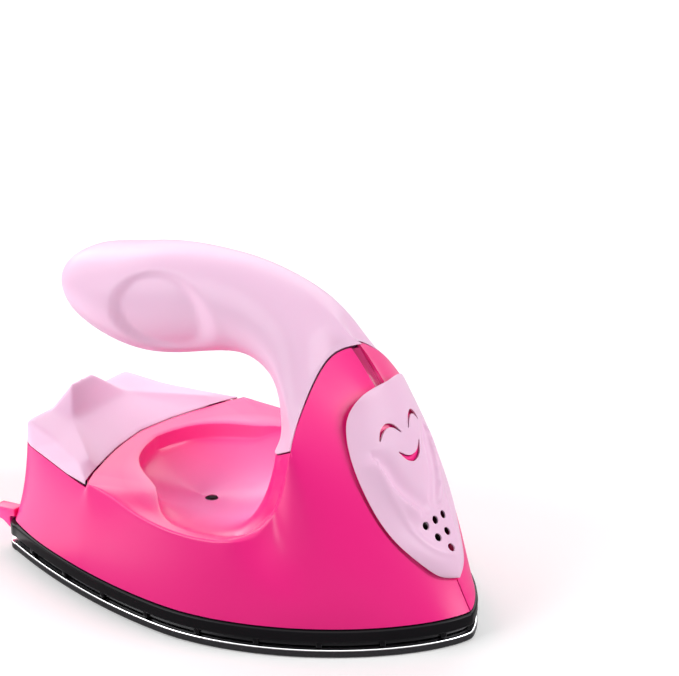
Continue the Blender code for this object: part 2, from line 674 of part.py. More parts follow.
def top_rows(steps):
    """Rows of the body's top from its outer edge inwards: deck rebate, land, rim, bowl, seam."""
    edge = [spot(s) for s in EDGE_shares]
    arc = [spot((x, y, ARC_HEIGHT_share)) for x, y in ARC_shares]
    rim_count = len(RIM_shares)
    outer = arc + edge[FIRST_EDGE_WITH_TOP : FIRST_EDGE_WITH_TOP + rim_count - len(arc)]
    outer = np.array(outer)
    drop = np.zeros((rim_count, 3))
    drop[: len(REBATE_DEPTH_shares), 2] = REBATE_DEPTH_shares
    down = outer - drop * (DECK_WALL + 2 * GAP)
    back = down - drop[:, ::-1] * REBATE_WIDTH
    rim = np.array([spot(s) for s in RIM_shares])
    fall = np.array([spot(s) for s in FALL_shares])
    seam = np.array([spot(s) for s in SEAM_shares])
    step = rim + (fall - rim) * 0.07
    step[:, 2] -= np.array(RECESS_shares) * RECESS_DEPTH
    rows = [smooth(row, steps) for row in (back, down, outer, rim, step, fall, seam)]
    attached = steps * len(arc)
    whole_edge = smooth(edge, steps)[steps * FIRST_EDGE_WITH_TOP :]
    for row in rows[:3]:
        row[attached:] = whole_edge[: len(row) - attached]
    back, down, outer, rim, step, fall, seam = rows
    seam[: steps * FIRST_SEAM_ON_COLUMN + 1, 1] = 0.0
    made = [back, down, outer, (outer + rim) / 2, rim, step]
    for t in (0.2, 0.4, 0.6, 0.8):
        made.append((1 - t) ** 2 * step + 2 * t * (1 - t) * fall + t**2 * seam)
    return made + [seam]


def seam_ring(steps):
    """The seam round the column's foot and up the hood's rim, from the rear centre to the tip."""
    seam = smooth([spot(s) for s in SEAM_shares], steps)[steps * FIRST_SEAM_ON_COLUMN :]
    edge = smooth([spot(s) for s in EDGE_shares], steps)
    corner = steps * (FIRST_EDGE_WITH_TOP + len(SEAM_shares) - 1 - len(ARC_shares))
    return np.vstack([seam, edge[corner + 1 :]])


def steer_at(ring):
    """A function that gives the wall's direction on the seam ring and on the body's foot."""
    start = Vector(spot(STEER_FROM_shares))
    ring = [Vector((p[0], side * max(p[1], GAP / 2), p[2])) for p in ring for side in (1, -1)]

    def steer(place, normal):
        if abs(place.z - BODY_BOTTOM) < GAP / 10:
            return level(normal)
        if min((place - p).length for p in ring) > GAP / 10:
            return None
        return (place - start).normalized()

    return steer


def thin_near(places):
    """A function that gives the wall's share at a point: each place is (point, reach, share there)."""

    def thin(place):
        here = Vector((place.x, abs(place.y), place.z))
        share = 1.0
        for known, reach, least in places:
            away = min(1.0, (here - Vector(known)).length / reach)
            share = min(share, least + (1 - least) * away**2)
        return share

    return thin


def body_surface():
    steps = 2
    wall = wall_columns(steps)
    rows, columns = len(wall), len(wall[0])
    points = np.stack(wall, axis=1).reshape(-1, 3)
    faces = grid_faces(rows, columns)
    top = top_rows(steps)
    start = len(points)
    faces += grid_faces(len(top), len(top[0]), start)
    points = np.vstack([points, np.stack(top, axis=1).reshape(-1, 3)])
    return points, faces


def make_body():
    points, faces = body_surface()
    ring = seam_ring(2)
    narrow = [(spot(EDGE_shares[FIRST_EDGE_WITH_TOP]), DECK_CORNER_THIN, THIN_share)]
    narrow += [(spot(EDGE_shares[k]), HOOD_EDGE_THIN, THIN_share) for k in (17, 18, 19, 20)]
    narrow += [(p, HOOD_EDGE_THIN, THIN_share) for p in ring]
    pair = half_shells("body_left", "body_right", points, faces, WALL, "hot_pink", steer_at(ring), thin_near(narrow))
    lamp = spot((LAMP_AT_share, 0.0, 0.112))
    lamp_hole = turned("lamp_hole", (lamp[0], 0, lamp[2]), (0, 0, 1),
                       [(-OVERRUN, LAMP_HOLE_RADIUS), (OVERRUN, LAMP_HOLE_RADIUS)], sides=12)
    tip, brow = spot(EDGE_shares[-1]), spot(PLATE_EDGE_shares[0])
    way = Vector(brow - tip).normalized()
    up = Vector((-way.z, 0, way.x)) * (1 if way.x > 0 else -1)
    start, end = Vector(tip) - way * OVERRUN, Vector(brow) + way * OVERRUN
    edge = HOOD_GROOVE_DEPTH
    outline = [start - up * edge, end - up * edge, end + up * OVERRUN, start + up * OVERRUN]
    groove = prism("hood_groove", [(p.x, p.z) for p in outline], -HOOD_GROOVE_WIDTH / 2, HOOD_GROOVE_WIDTH / 2)
    pocket = plate_solid("plate_pocket", GAP, POCKET_FRONT, PLATE_WALL + GAP, "hot_pink")
    window = plate_solid("plate_window", 0.0, POCKET_FRONT, PLATE_WALL + OVERRUN, "hot_pink", WINDOW_share)
    gland = turned("gland_hole", (0, 0, gland_height()), (1, 0, 0),
                   [(-OVERRUN, GLAND_RADIUS + GAP), (OVERRUN, GLAND_RADIUS + GAP)], sides=16)
    for item, side in zip(pair, (1, -1)):
        cut(item, lamp_hole, groove, pocket, window, gland)
        join(item, heel_foot(f"{item.name}_foot", side))
        for k, (x, y) in enumerate(body_boss_places()):
            if y * side > 0:
                add_boss(item, f"{item.name}_boss_{k}", x, y)
        split_faces(item)
    return pair


def add_boss(item, name, x, y):
    """An upright screw boss against the wall, bored for its screw."""
    high = BODY_BOTTOM + BOSS_HEIGHT
    boss = turned(name, (x, y, 0), (0, 0, 1), [(BODY_BOTTOM + GAP, BOSS_RADIUS), (high, BOSS_RADIUS)], "hot_pink", 12)
    join(item, boss)
    bore = SCREW_RADIUS + SCREW_CLEARANCE
    hole = turned(name + "_bore", (x, y, 0), (0, 0, 1),
                  [(BODY_BOTTOM - OVERRUN, bore), (high - WALL, bore)], sides=12)
    cut(item, hole)


def heel_foot(name, side):
    """A small block behind the wall that the iron stands on, with a web below it."""
    low, high = sorted((side * (FOOT_OFFSET - FOOT_WIDTH / 2), side * (FOOT_OFFSET + FOOT_WIDTH / 2)))
    top = BODY_BOTTOM + FOOT_HEIGHT / 2
    root = BODY_INSET + WALL / 2
    outline = [
        (root, top + FOOT_HEIGHT / 4), (-FOOT_REACH, top), (-FOOT_REACH, top - FOOT_HEIGHT),
        (-FOOT_REACH / 2, top - FOOT_HEIGHT - GAP), (-GAP, BODY_BOTTOM - FOOT_WEB_DROP),
        (-GAP, BODY_BOTTOM + GAP), (root, BODY_BOTTOM + GAP),
    ]
    return prism(name, outline, low, high, "hot_pink")


def gland_height():
    return BODY_BOTTOM + GLAND_RADIUS + 2 * WALL


# Rear deck


def make_deck():
    edge = [spot(s) for s in EDGE_shares]
    rear = [edge[k] + np.array((0, 0, GAP)) for k in range(FIRST_EDGE_WITH_TOP)]
    rear[-1] = rear[-1] - np.array((2 * GAP, 2 * GAP, 0))
    front = [spot((x, y, DECK_FRONT_HEIGHT_share)) for x, y in ARC_shares]
    corner = rear[-1].copy()
    corner[2] = spot((0, 0, DECK_FRONT_HEIGHT_share))[2]
    front = [p - np.array((GAP, 0, 0)) for p in front] + [corner]
    peak, notch, shoulder, middle, side = [
        spot(s) for s in (DECK_PEAK_shares, DECK_NOTCH_shares, DECK_CORNER_shares, DECK_MIDDLE_shares, DECK_SIDE_shares)
    ]
    fold = [spot(s) for s in DECK_FOLD_shares]
    points = rear + front + [peak, notch, shoulder, middle, side] + fold
    r, f = 0, len(rear)
    u, j, k, a, b, f1, f2 = range(f + len(front), f + len(front) + 7)
    centre = len(points)
    points += [peak * np.array((1, 0, 1)), middle * np.array((1, 0, 1))]
    crest, hollow = centre, centre + 1
    faces = [
        (crest, u, a, hollow), (u, j, a), (j, k, f1, a), (a, f1, f2, b),
        (hollow, a, f + 1, f), (a, f + 2, f + 1), (a, b, f + 3, f + 2), (b, f + 4, f + 3),
        (b, f2, f + 5, f + 4),
        (r, crest, u), (r, u, j), (r, j, r + 1), (r + 1, j, k), (r + 1, k, r + 2), (r + 2, k, r + 3),
        (r + 3, k, r + 4), (r + 4, k, f1), (r + 4, f1, r + 5), (r + 5, f1, f2), (r + 5, f2, r + 6),
        (r + 6, f2, f + 5), (r + 6, f + 5, r + 7),
    ]
    faces = [tuple(reversed(q)) for q in faces]
    thick = {tuple(np.round(front[-1], 6)): DECK_THIN_share, tuple(np.round(rear[-1], 6)): DECK_THIN_share,
             tuple(np.round(front[-2], 6)): 0.5}

    def thin(place):
        key = (place.x, abs(place.y), place.z)
        for known, share in thick.items():
            if max(abs(p - q) for p, q in zip(known, key)) < GAP / 10:
                return share
        return 1.0

    def steer(place, normal):
        return level(normal) if place.x < front[-1][0] - GAP or place.z < rear[-1][2] + GAP / 10 else None

    deck = shell("rear_deck", *mirrored(np.array(points), faces), DECK_WALL, "pale_pink", steer, thin)
    return deck


# Handle


def handle_scale(index):
    """The height that a station's shares are of: the handle's at the grip, the hood's at the seam."""
    front = HANDLE_HOOD_shares[index]
    return HANDLE_HEIGHT * (1 - front) + HOOD_HEIGHT * HANDLE_OVER_HOOD_share * front


def handle_ring(index, count, seam):
    """Points from the top round the left side to the bottom of one station of the handle."""
    top_x, top_z = HANDLE_TOP_shares[index]
    low_x, low_z = HANDLE_LOW_shares[index]
    tall = handle_scale(index)
    top = np.array((top_x * SOLE_LENGTH, 0, top_z * tall))
    low = np.array((low_x * SOLE_LENGTH, 0, low_z * tall))
    width = HANDLE_WIDTH_shares[index] * GRIP_HALF_WIDTH
    blend = HANDLE_BLEND_shares[index]
    tip, heel = seam[0], seam[-1]
    widest = max(seam[:, 1])
    ring = []
    for k in range(count):
        angle = math.pi * k / (count - 1)
        round_point = (top + low) / 2 + (top - low) / 2 * math.cos(angle)
        round_point[1] = width * math.sin(angle) ** 0.9 if 0 < k < count - 1 else 0.0
        share = seam[k] - heel
        chord = tip - heel
        along = np.dot(share * (1, 0, 1), chord) / np.dot(chord, chord)
        off = share - chord * along
        rim_point = low + (top - low) * along + off * np.array((1, 0, 1)) * blend
        rim_point[1] = seam[k][1] * width / widest
        ring.append(round_point * (1 - blend) + rim_point * blend)
    return np.array(ring)


def resample(points, count):
    """count points evenly along a line of points."""
    steps = np.concatenate([[0], np.cumsum(np.linalg.norm(np.diff(points, axis=0), axis=1))])
    places = np.linspace(0, steps[-1], count)
    return np.stack([np.interp(places, steps, points[:, k]) for k in range(3)], axis=1)


def make_handle():
    seam = seam_ring(2)[::-1]
    count = len(seam)
    even = resample(seam, count)
    rings = [handle_ring(k, count, even) for k in range(len(HANDLE_TOP_shares))]
    last = seam + np.array((-GAP, 0, GAP))
    rows = np.array(rings + [last])
    centre = np.array((DIMPLE_shares[0] * SOLE_LENGTH, DIMPLE_shares[1] * HANDLE_HEIGHT))
    away = ((rows[:, :, 0] - centre[0]) / DIMPLE_LENGTH) ** 2 + ((rows[:, :, 2] - centre[1]) / DIMPLE_HEIGHT) ** 2
    rows[:, :, 1] -= DIMPLE_DEPTH * np.clip(1 - away, 0, 1) ** 2 * (rows[:, :, 1] > GAP)
    rows[:, 0, 1] = rows[:, -1, 1] = 0.0
    pole = rows[0].mean(axis=0) * np.array((1, 0, 1))
    rows[0] = pole
    points = rows.reshape(-1, 3)
    faces = grid_faces(count, len(rows))
    narrow = [(p, HANDLE_EDGE_THIN, THIN_share) for p in last]
    pair = half_shells("handle_left", "handle_right", points, faces, HANDLE_WALL, "pale_pink", steer_at(last),
                       thin_near(narrow))
    for item, side in zip(pair, (1, -1)):
        for k, (x, z) in enumerate(handle_boss_places()):
            handle_boss(item, f"{item.name}_boss_{k}", x, z, side, HANDLE_BOSS_REACH_shares[k])
        split_faces(item)
    return pair


def handle_boss_places():
    return [(x * SOLE_LENGTH, z * HANDLE_HEIGHT) for x, z in HANDLE_BOSS_shares]


def handle_boss(item, name, x, z, side, reach_share):
    """A boss from the parting plane to the wall. The left one takes the screw's head."""
    near, far = side * GAP / 2, side * (GRIP_HALF_WIDTH * reach_share - HANDLE_WALL / 2)
    boss = turned(name, (x, 0, z), (0, 1, 0), sorted([(near, HANDLE_BOSS_RADIUS), (far, HANDLE_BOSS_RADIUS)]),
                  "pale_pink", 12)
    join(item, boss)
    bore = SCREW_RADIUS + SCREW_CLEARANCE
    wide = SCREW_HEAD_RADIUS + SCREW_CLEARANCE
    if side > 0:
        profile = [(-OVERRUN, bore), (head_seat(), bore), (head_seat(), wide), (2 * GRIP_HALF_WIDTH, wide)]
    else:
        profile = [(-head_seat(), bore), (OVERRUN, bore)]
    cut(item, turned(name + "_bore", (x, 0, z), (0, 1, 0), profile, sides=12))


def head_seat():
    return GRIP_HALF_WIDTH / 3


# Oval plate on the nose


def plate_middle(z):
    heights = [BODY_BOTTOM + s * BODY_RISE for s, _ in PLATE_MIDDLE_shares]
    return np.interp(z, heights, [x * SOLE_LENGTH for _, x in PLATE_MIDDLE_shares])


def plate_rows(grow, share=1.0):
    """Rows across the plate from its top to its bottom, each a shallow arc bulging forwards."""
    edge = smooth([spot(s) for s in PLATE_EDGE_shares], 2)
    middle_z = (edge[0][2] + edge[-1][2]) / 2
    tall = (edge[0][2] - edge[-1][2]) / 2
    across = np.sin(np.linspace(-1, 1, 9) * math.pi / 2)
    rows = []
    for x, y, z in edge:
        front = plate_middle(z)
        wide = (y + grow) * share if y > 0 else grow * share
        height = middle_z + (z - middle_z) * (1 + grow / tall) * share
        if share < 1:
            front = plate_middle(height)
            x = front - (plate_middle(z) - x) * share**2
        rows.append([(x + (front - x) * (1 - s * s), s * wide, height) for s in across])
    return np.array(rows)


def plate_solid(name, grow, front, back, finish, share=1.0):
    """The plate's outline as a closed body, front before and back behind the plate's surface."""
    lean = np.array(PLATE_LEAN_shares)
    rows = plate_rows(grow, share)
    if grow == 0:
        rows[0], rows[-1] = rows[0].mean(axis=0), rows[-1].mean(axis=0)
    height, width = rows.shape[:2]
    ahead, behind = rows + lean * front, rows - lean * back
    points = np.vstack([ahead.reshape(-1, 3), behind.reshape(-1, 3)])
    size = height * width
    faces = grid_faces(width, height)
    faces += [tuple(i + size for i in reversed(f)) for f in grid_faces(width, height)]
    rim = [r * width for r in range(height)]
    rim += [(height - 1) * width + c for c in range(1, width)]
    rim += [r * width + width - 1 for r in range(height - 2, -1, -1)]
    rim += [c for c in range(width - 2, 0, -1)]
    faces += [(a, b, b + size, a + size) for a, b in zip(rim, rim[1:] + rim[:1])]
    bm = bmesh.new()
    made = [bm.verts.new(p) for p in points]
    for face in faces:
        bm.faces.new([made[i] for i in face])
    bmesh.ops.remove_doubles(bm, verts=bm.verts, dist=GAP / 20)
    return finish_mesh(name, bm, finish)


def stroke(name, line, width):
    """A bent bar through the plate along a line of (y, z) points."""
    line = smooth([(y, z, 0) for y, z in line], 2)[:, :2]
    ways = np.gradient(line, axis=0)
    ways /= np.linalg.norm(ways, axis=1)[:, None]
    side = np.stack([-ways[:, 1], ways[:, 0]], axis=1) * width / 2
    lean = np.array(PLATE_LEAN_shares)
    rings = []
    for (y, z), (dy, dz) in zip(line, side):
        ring = []
        for sign, push in ((1, 1), (-1, 1), (-1, -1), (1, -1)):
            base = np.array((plate_middle(z), y + sign * dy, z + sign * dz))
            ring.append(tuple(base + lean * push * OVERRUN))
        rings.append(ring)
    return loft(name, rings, "hot_pink")


def make_plate():
    plate = plate_solid("nose_plate", 0.0, PLATE_PROUD, PLATE_WALL - PLATE_PROUD, "pale_pink")
    for k, shares in enumerate(VENT_shares):
        place = spot(shares)
        cut(plate, turned(f"vent_{k}", tuple(place), PLATE_LEAN_shares,
                          [(-OVERRUN, VENT_RADIUS), (OVERRUN, VENT_RADIUS)], sides=10))
    lines = [("smile", SMILE_shares), ("eye_left", EYE_shares), ("eye_right", [(-y, z) for y, z in EYE_shares])]
    for name, shares in lines:
        line = [(y * SOLE_HALF_WIDTH, BODY_BOTTOM + z * BODY_RISE) for y, z in shares]
        cut(plate, stroke(name, line, SMILE_WIDTH))
    return plate


# Screws


def screw(name, x, y, seat, shaft, axis=(0, 0, 1), finish="steel"):
    """A pan-head screw: its head sits from seat outwards along axis, its shaft runs back by shaft."""
    place = (x, y, seat)
    return turned(name, place, axis, [
        (-shaft, SCREW_RADIUS), (0, SCREW_RADIUS), (0, SCREW_HEAD_RADIUS),
        (SCREW_HEAD_HEIGHT * HEAD_STEP_share, SCREW_HEAD_RADIUS),
        (SCREW_HEAD_HEIGHT, SCREW_HEAD_RADIUS * HEAD_STEP_share),
    ], finish, 12)


def make_screws():
    for k, (x, y) in enumerate(sole_screw_places()):
        shaft = SKIRT_TOP + GAP - SOLE_THICKNESS - GAP
        screw(f"sole_screw_{k}", x, y, SKIRT_TOP + GAP, shaft)
    for k, (x, y) in enumerate(body_boss_places()):
        seat = SOLE_THICKNESS + GAP + SCREW_HEAD_HEIGHT
        shaft = BODY_BOTTOM + BOSS_HEIGHT - WALL - GAP - seat
        screw(f"body_screw_{k}", x, y, seat, shaft, (0, 0, -1))
    for k, (x, z) in enumerate(handle_boss_places()):
        seat = head_seat() + GAP
        screw(f"handle_screw_{k}", x, seat, z, seat + head_seat() - GAP, (0, 1, 0))


# Heater and its covers


def element_height():
    return PAD_TOP + GAP + ELEMENT_RADIUS


def cover_height():
    return element_height() + ELEMENT_RADIUS + GAP


def make_heater():
    z = element_height()
    bend = 9
    path = [(ELEMENT_REAR_AT, ELEMENT_HALF_SPAN, z)]
    for k in range(bend):
        angle = math.pi / 2 - math.pi * k / (bend - 1)
        path.append((ELEMENT_BEND_AT + ELEMENT_HALF_SPAN * math.cos(angle), ELEMENT_HALF_SPAN * math.sin(angle), z))
    path.append((ELEMENT_REAR_AT, -ELEMENT_HALF_SPAN, z))
    tube("heating_element", path, ELEMENT_RADIUS, "steel")
    for name, side in (("element_pin_left", 1), ("element_pin_right", -1)):
        turned(name, (ELEMENT_REAR_AT - GAP, side * ELEMENT_HALF_SPAN, z), (-1, 0, 0),
               [(0, PIN_END_RADIUS), (PIN_END_LENGTH, PIN_END_RADIUS)], "brass", 10)
    low, top = PAD_TOP + GAP, cover_height() + CLAMP_THICKNESS
    front = CLAMP_AT + CLAMP_WIDTH
    clamp = box("element_clamp", (CLAMP_AT, -CLAMP_HALF_SPAN, cover_height()), (front, CLAMP_HALF_SPAN, top), "steel")
    join(clamp, box("clamp_foot", (CLAMP_AT, -CLAMP_FOOT_HALF_WIDTH, low),
                    (front, CLAMP_FOOT_HALF_WIDTH, top - CLAMP_THICKNESS / 2)))
    mica = box("mica_sheet", (COVER_REAR_AT, -MICA_HALF_WIDTH, cover_height()),
               (COVER_FRONT_AT, MICA_HALF_WIDTH, cover_height() + MICA_THICKNESS), "mica")
    lamp = LAMP_AT_share * SOLE_LENGTH
    hole = turned("cover_hole", (lamp, 0, 0), (0, 0, 1),
                  [(PAD_TOP, COVER_HOLE_RADIUS), (PAD_TOP + 2 * OVERRUN, COVER_HOLE_RADIUS)], sides=16)
    cut(mica, hole)
    under = cover_height() + MICA_THICKNESS + GAP
    over = under + SHIELD_THICKNESS
    rings = []
    for x in (COVER_REAR_AT, COVER_FRONT_AT):
        out, inner = SHIELD_HALF_WIDTH, SHIELD_HALF_WIDTH - SHIELD_THICKNESS
        rings.append([(x, out, low), (x, out, over), (x, -out, over), (x, -out, low),
                      (x, -inner, low), (x, -inner, under), (x, inner, under), (x, inner, low)])
    shield = loft("heat_shield", rings, "aluminium")
    cut(shield, hole)


# Thermostat, fuse and lamp


def set_origin(item, place):
    """Moves an object's origin to a place and leaves its mesh where it was."""
    item.data.transform(Matrix.Translation(-Vector(place)))
    item.location = place
    return item


def carrier_bottom():
    return PAD_TOP + GAP + CUP_HEIGHT + GAP


def blade_bottom():
    return carrier_bottom() + CARRIER_HEIGHT + GAP + POST_HEIGHT + GAP


def make_thermostat():
    low = PAD_TOP + GAP
    centre = (THERMOSTAT_AT, 0, 0)
    cup = turned("thermostat_cup", centre, (0, 0, 1),
                 [(low, THERMOSTAT_RADIUS), (low + CUP_HEIGHT, THERMOSTAT_RADIUS)], "aluminium", 20)
    cut(cup, turned("cup_room", centre, (0, 0, 1), [(low + CUP_WALL, THERMOSTAT_RADIUS - CUP_WALL),
                    (low + CUP_HEIGHT + OVERRUN, THERMOSTAT_RADIUS - CUP_WALL)], sides=20))
    disc = low + CUP_WALL + GAP
    turned("snap_disc", centre, (0, 0, 1), [(disc, DISC_RADIUS), (disc + DISC_THICKNESS, DISC_RADIUS)], "steel", 20)
    carrier = turned("contact_carrier", centre, (0, 0, 1), [(carrier_bottom(), THERMOSTAT_RADIUS),
                     (carrier_bottom() + CARRIER_HEIGHT, THERMOSTAT_RADIUS)], "ceramic", 20)
    bore = PUSH_PIN_RADIUS + GAP
    cut(carrier, turned("pin_bore", centre, (0, 0, 1), [(carrier_bottom() - OVERRUN, bore),
                        (carrier_bottom() + CARRIER_HEIGHT + OVERRUN, bore)], sides=12))
    foot = disc + DISC_THICKNESS + GAP
    pin = turned("push_pin", centre, (0, 0, 1),
                 [(foot, PUSH_PIN_RADIUS), (blade_bottom() - GAP, PUSH_PIN_RADIUS)], "ceramic", 12)
    set_origin(pin, (THERMOSTAT_AT, 0, foot))
    hinge = THERMOSTAT_AT - blade_arm()
    blade = box("contact_blade", (hinge, -BLADE_WIDTH / 2, blade_bottom()),
                (hinge + BLADE_LENGTH, BLADE_WIDTH / 2, blade_bottom() + BLADE_THICKNESS), "brass")
    set_origin(blade, (hinge, 0, blade_bottom()))
    top = carrier_bottom() + CARRIER_HEIGHT + GAP
    for name, x, finish in (("blade_post", hinge - GAP, "brass"),
                            ("fixed_contact", hinge + BLADE_LENGTH - POST_LENGTH / 2, "brass")):
        box(name, (x, -BLADE_WIDTH / 2, top), (x + POST_LENGTH, BLADE_WIDTH / 2, top + POST_HEIGHT), finish)


def blade_arm():
    """How far the push pin stands from the blade's fixed end."""
    return BLADE_LENGTH / 2


def make_fuse():
    z = PAD_TOP + GAP + CLIP_WALL + FUSE_RADIUS + GAP
    turned("thermal_fuse", (FUSE_AT, -FUSE_OFFSET, z), (1, 0, 0),
           [(0, FUSE_RADIUS), (FUSE_LENGTH, FUSE_RADIUS)], "ceramic", 12)
    middle, half = FUSE_AT + FUSE_LENGTH / 2, FUSE_RADIUS + GAP + CLIP_WALL
    clip = box("fuse_clip", (middle - CLIP_LENGTH / 2, -FUSE_OFFSET - half, z - half),
               (middle + CLIP_LENGTH / 2, -FUSE_OFFSET + half, z + half), "steel")
    cut(clip, turned("clip_bore", (FUSE_AT, -FUSE_OFFSET, z), (1, 0, 0),
                     [(-OVERRUN, FUSE_RADIUS + GAP), (FUSE_LENGTH + OVERRUN, FUSE_RADIUS + GAP)], sides=12))


def make_lamp():
    x = LAMP_AT_share * SOLE_LENGTH
    low = PAD_TOP + GAP
    top = low + HOLDER_HEIGHT
    socket = LAMP_HEIGHT / 2
    holder = box("lamp_holder", (x - HOLDER_LENGTH / 2, -HOLDER_WIDTH / 2, low),
                 (x + HOLDER_LENGTH / 2, HOLDER_WIDTH / 2, top), "ceramic")
    wide = LAMP_RADIUS + GAP
    cut(holder, turned("lamp_socket", (x, 0, 0), (0, 0, 1), [(top - socket, wide), (top + OVERRUN, wide)], sides=12))
    foot = top - socket + GAP
    turned("indicator_lamp", (x, 0, 0), (0, 0, 1),
           [(foot, LAMP_RADIUS), (foot + LAMP_HEIGHT, LAMP_RADIUS)], "clear_red", 12)
    base = foot + LAMP_HEIGHT + GAP
    turned("lamp_lens", (x, 0, 0), (0, 0, 1), [(base, LENS_RADIUS), (base, LENS_FLANGE_RADIUS),
           (base + LENS_FLANGE_HEIGHT, LENS_FLANGE_RADIUS), (base + LENS_FLANGE_HEIGHT, LENS_RADIUS),
           (base + LENS_HEIGHT, LENS_RADIUS)], "clear_red", 12)


# Cord gland, terminal block and wires


def make_gland():
    z = gland_height()
    outer = BODY_INSET - GAP
    inner = BODY_INSET + WALL + 2 * GAP
    lip = GLAND_RADIUS + GLAND_LIP
    gland = turned("cord_gland", (0, 0, z), (1, 0, 0), [
        (outer - GLAND_LIP_THICKNESS, lip), (outer, lip), (outer, GLAND_RADIUS), (inner, GLAND_RADIUS),
        (inner, lip), (inner + GLAND_LIP_THICKNESS, lip), (inner + GLAND_LIP_THICKNESS, GLAND_RADIUS),
        (BODY_INSET + GLAND_REACH, GLAND_RADIUS)], "rubber", 16)
    cut(gland, turned("gland_bore", (0, 0, z), (1, 0, 0),
                      [(-OVERRUN, GLAND_BORE_RADIUS), (2 * OVERRUN, GLAND_BORE_RADIUS)], sides=12))


def block_top():
    return SKIRT_TOP + GAP + BLOCK_HEIGHT


def make_block():
    low = SKIRT_TOP + GAP
    block = box("terminal_block", (BLOCK_AT, -BLOCK_WIDTH / 2, low),
                (BLOCK_AT + BLOCK_LENGTH, BLOCK_WIDTH / 2, block_top()), "inner_plastic")
    x = BLOCK_AT + BLOCK_LENGTH / 2
    bore = SCREW_RADIUS + SCREW_CLEARANCE
    for k, side in enumerate((1, -1)):
        y = side * BLOCK_SCREW_OFFSET
        cut(block, turned(f"block_bore_{k}", (x, y, block_top()), (0, 0, 1),
                          [(-BLOCK_SCREW_DEPTH - GAP, bore), (OVERRUN, bore)], sides=12))
        screw(f"block_screw_{k}", x, y, block_top() + GAP, BLOCK_SCREW_DEPTH, finish="brass")


def make_wires():
    front = BLOCK_AT + BLOCK_LENGTH + GAP
    z = low = SKIRT_TOP + GAP + WIRE_RISE
    pin_top = element_height() + PIN_END_RADIUS + GAP
    end_x = ELEMENT_REAR_AT - PIN_END_LENGTH / 2
    for name, side, finish in (("live_wire", 1, "wire_red"), ("neutral_wire", -1, "wire_blue")):
        start = side * (BLOCK_WIDTH / 2 - 2 * WIRE_RADIUS)
        tube(name, [(front, start, z), (front + 2 * WIRE_RADIUS, start, z),
                    (end_x, side * (ELEMENT_HALF_SPAN - WIRE_RADIUS), z),
                    (end_x + WIRE_RADIUS, side * ELEMENT_HALF_SPAN, z - WIRE_RADIUS),
                    (end_x + WIRE_RADIUS, side * ELEMENT_HALF_SPAN, pin_top)], WIRE_RADIUS, finish, 1)
    fuse_z = PAD_TOP + GAP + CLIP_WALL + FUSE_RADIUS + GAP
    lane = ELEMENT_RADIUS + WIRE_RADIUS + 2 * GAP - ELEMENT_HALF_SPAN
    fuse_end = FUSE_AT + FUSE_LENGTH + GAP
    post = THERMOSTAT_AT - blade_arm() - GAP
    post_z = carrier_bottom() + CARRIER_HEIGHT + GAP + POST_HEIGHT / 2
    tube("fuse_wire", [(front, 0, low), (front + WIRE_RADIUS * 2, 0, low), (FUSE_AT - WIRE_RADIUS * 4, -FUSE_OFFSET, fuse_z),
                       (FUSE_AT - GAP, -FUSE_OFFSET, fuse_z)], WIRE_RADIUS, "wire_red", 1)
    tube("link_wire", [(fuse_end, -FUSE_OFFSET, fuse_z), (fuse_end + WIRE_RADIUS, -FUSE_OFFSET, fuse_z),
                       (fuse_end + WIRE_RADIUS * 3, lane, fuse_z), (CLAMP_AT + CLAMP_WIDTH, lane, fuse_z),
                       (CLAMP_AT + CLAMP_WIDTH + WIRE_RADIUS * 2, lane / 2, post_z)], WIRE_RADIUS, "wire_red", 1)


def gather():
    """One empty under the middle of the iron carries every piece."""
    carrier = bpy.data.objects.new("craft_iron", None)
    bpy.context.scene.collection.objects.link(carrier)
    for item in bpy.data.objects:
        if item is not carrier:
            item.parent = carrier
    carrier.location = ((FOOT_REACH - SOLE_LENGTH) / 2, 0, 0)


clear_scene()
make_soleplate()
make_skirt()
make_body()
make_deck()
make_handle()
make_plate()
make_screws()
make_heater()
make_thermostat()
make_fuse()
make_lamp()
make_gland()
make_block()
make_wires()
gather()
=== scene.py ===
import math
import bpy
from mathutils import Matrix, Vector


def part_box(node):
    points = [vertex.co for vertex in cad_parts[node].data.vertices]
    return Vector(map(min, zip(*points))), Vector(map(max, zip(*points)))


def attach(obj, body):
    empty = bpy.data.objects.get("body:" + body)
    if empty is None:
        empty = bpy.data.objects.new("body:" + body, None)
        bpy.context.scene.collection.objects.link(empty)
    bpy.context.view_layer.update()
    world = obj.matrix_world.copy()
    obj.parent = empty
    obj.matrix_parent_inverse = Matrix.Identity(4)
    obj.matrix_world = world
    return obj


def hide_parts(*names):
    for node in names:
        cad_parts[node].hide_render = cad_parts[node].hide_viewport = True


bl_info = {
    "name": "Mini craft iron",
    "version": (1, 0, 0),
    "blender": (4, 5, 0),
    "location": "3D Viewport > Sidebar > Craft iron",
    "description": "Dresses the mini craft iron in fine moulded surfaces and lights it",
    "category": "Mesh",
}

import bmesh
import bpy
import numpy as np
from mathutils import Matrix, Vector

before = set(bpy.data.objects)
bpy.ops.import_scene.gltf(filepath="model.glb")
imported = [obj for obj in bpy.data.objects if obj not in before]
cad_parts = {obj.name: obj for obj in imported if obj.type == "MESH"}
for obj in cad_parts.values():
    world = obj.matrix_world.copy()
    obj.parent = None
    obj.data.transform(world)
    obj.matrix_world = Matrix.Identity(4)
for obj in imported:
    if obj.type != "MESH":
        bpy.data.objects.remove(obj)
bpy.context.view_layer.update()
SOLE_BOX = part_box("soleplate")

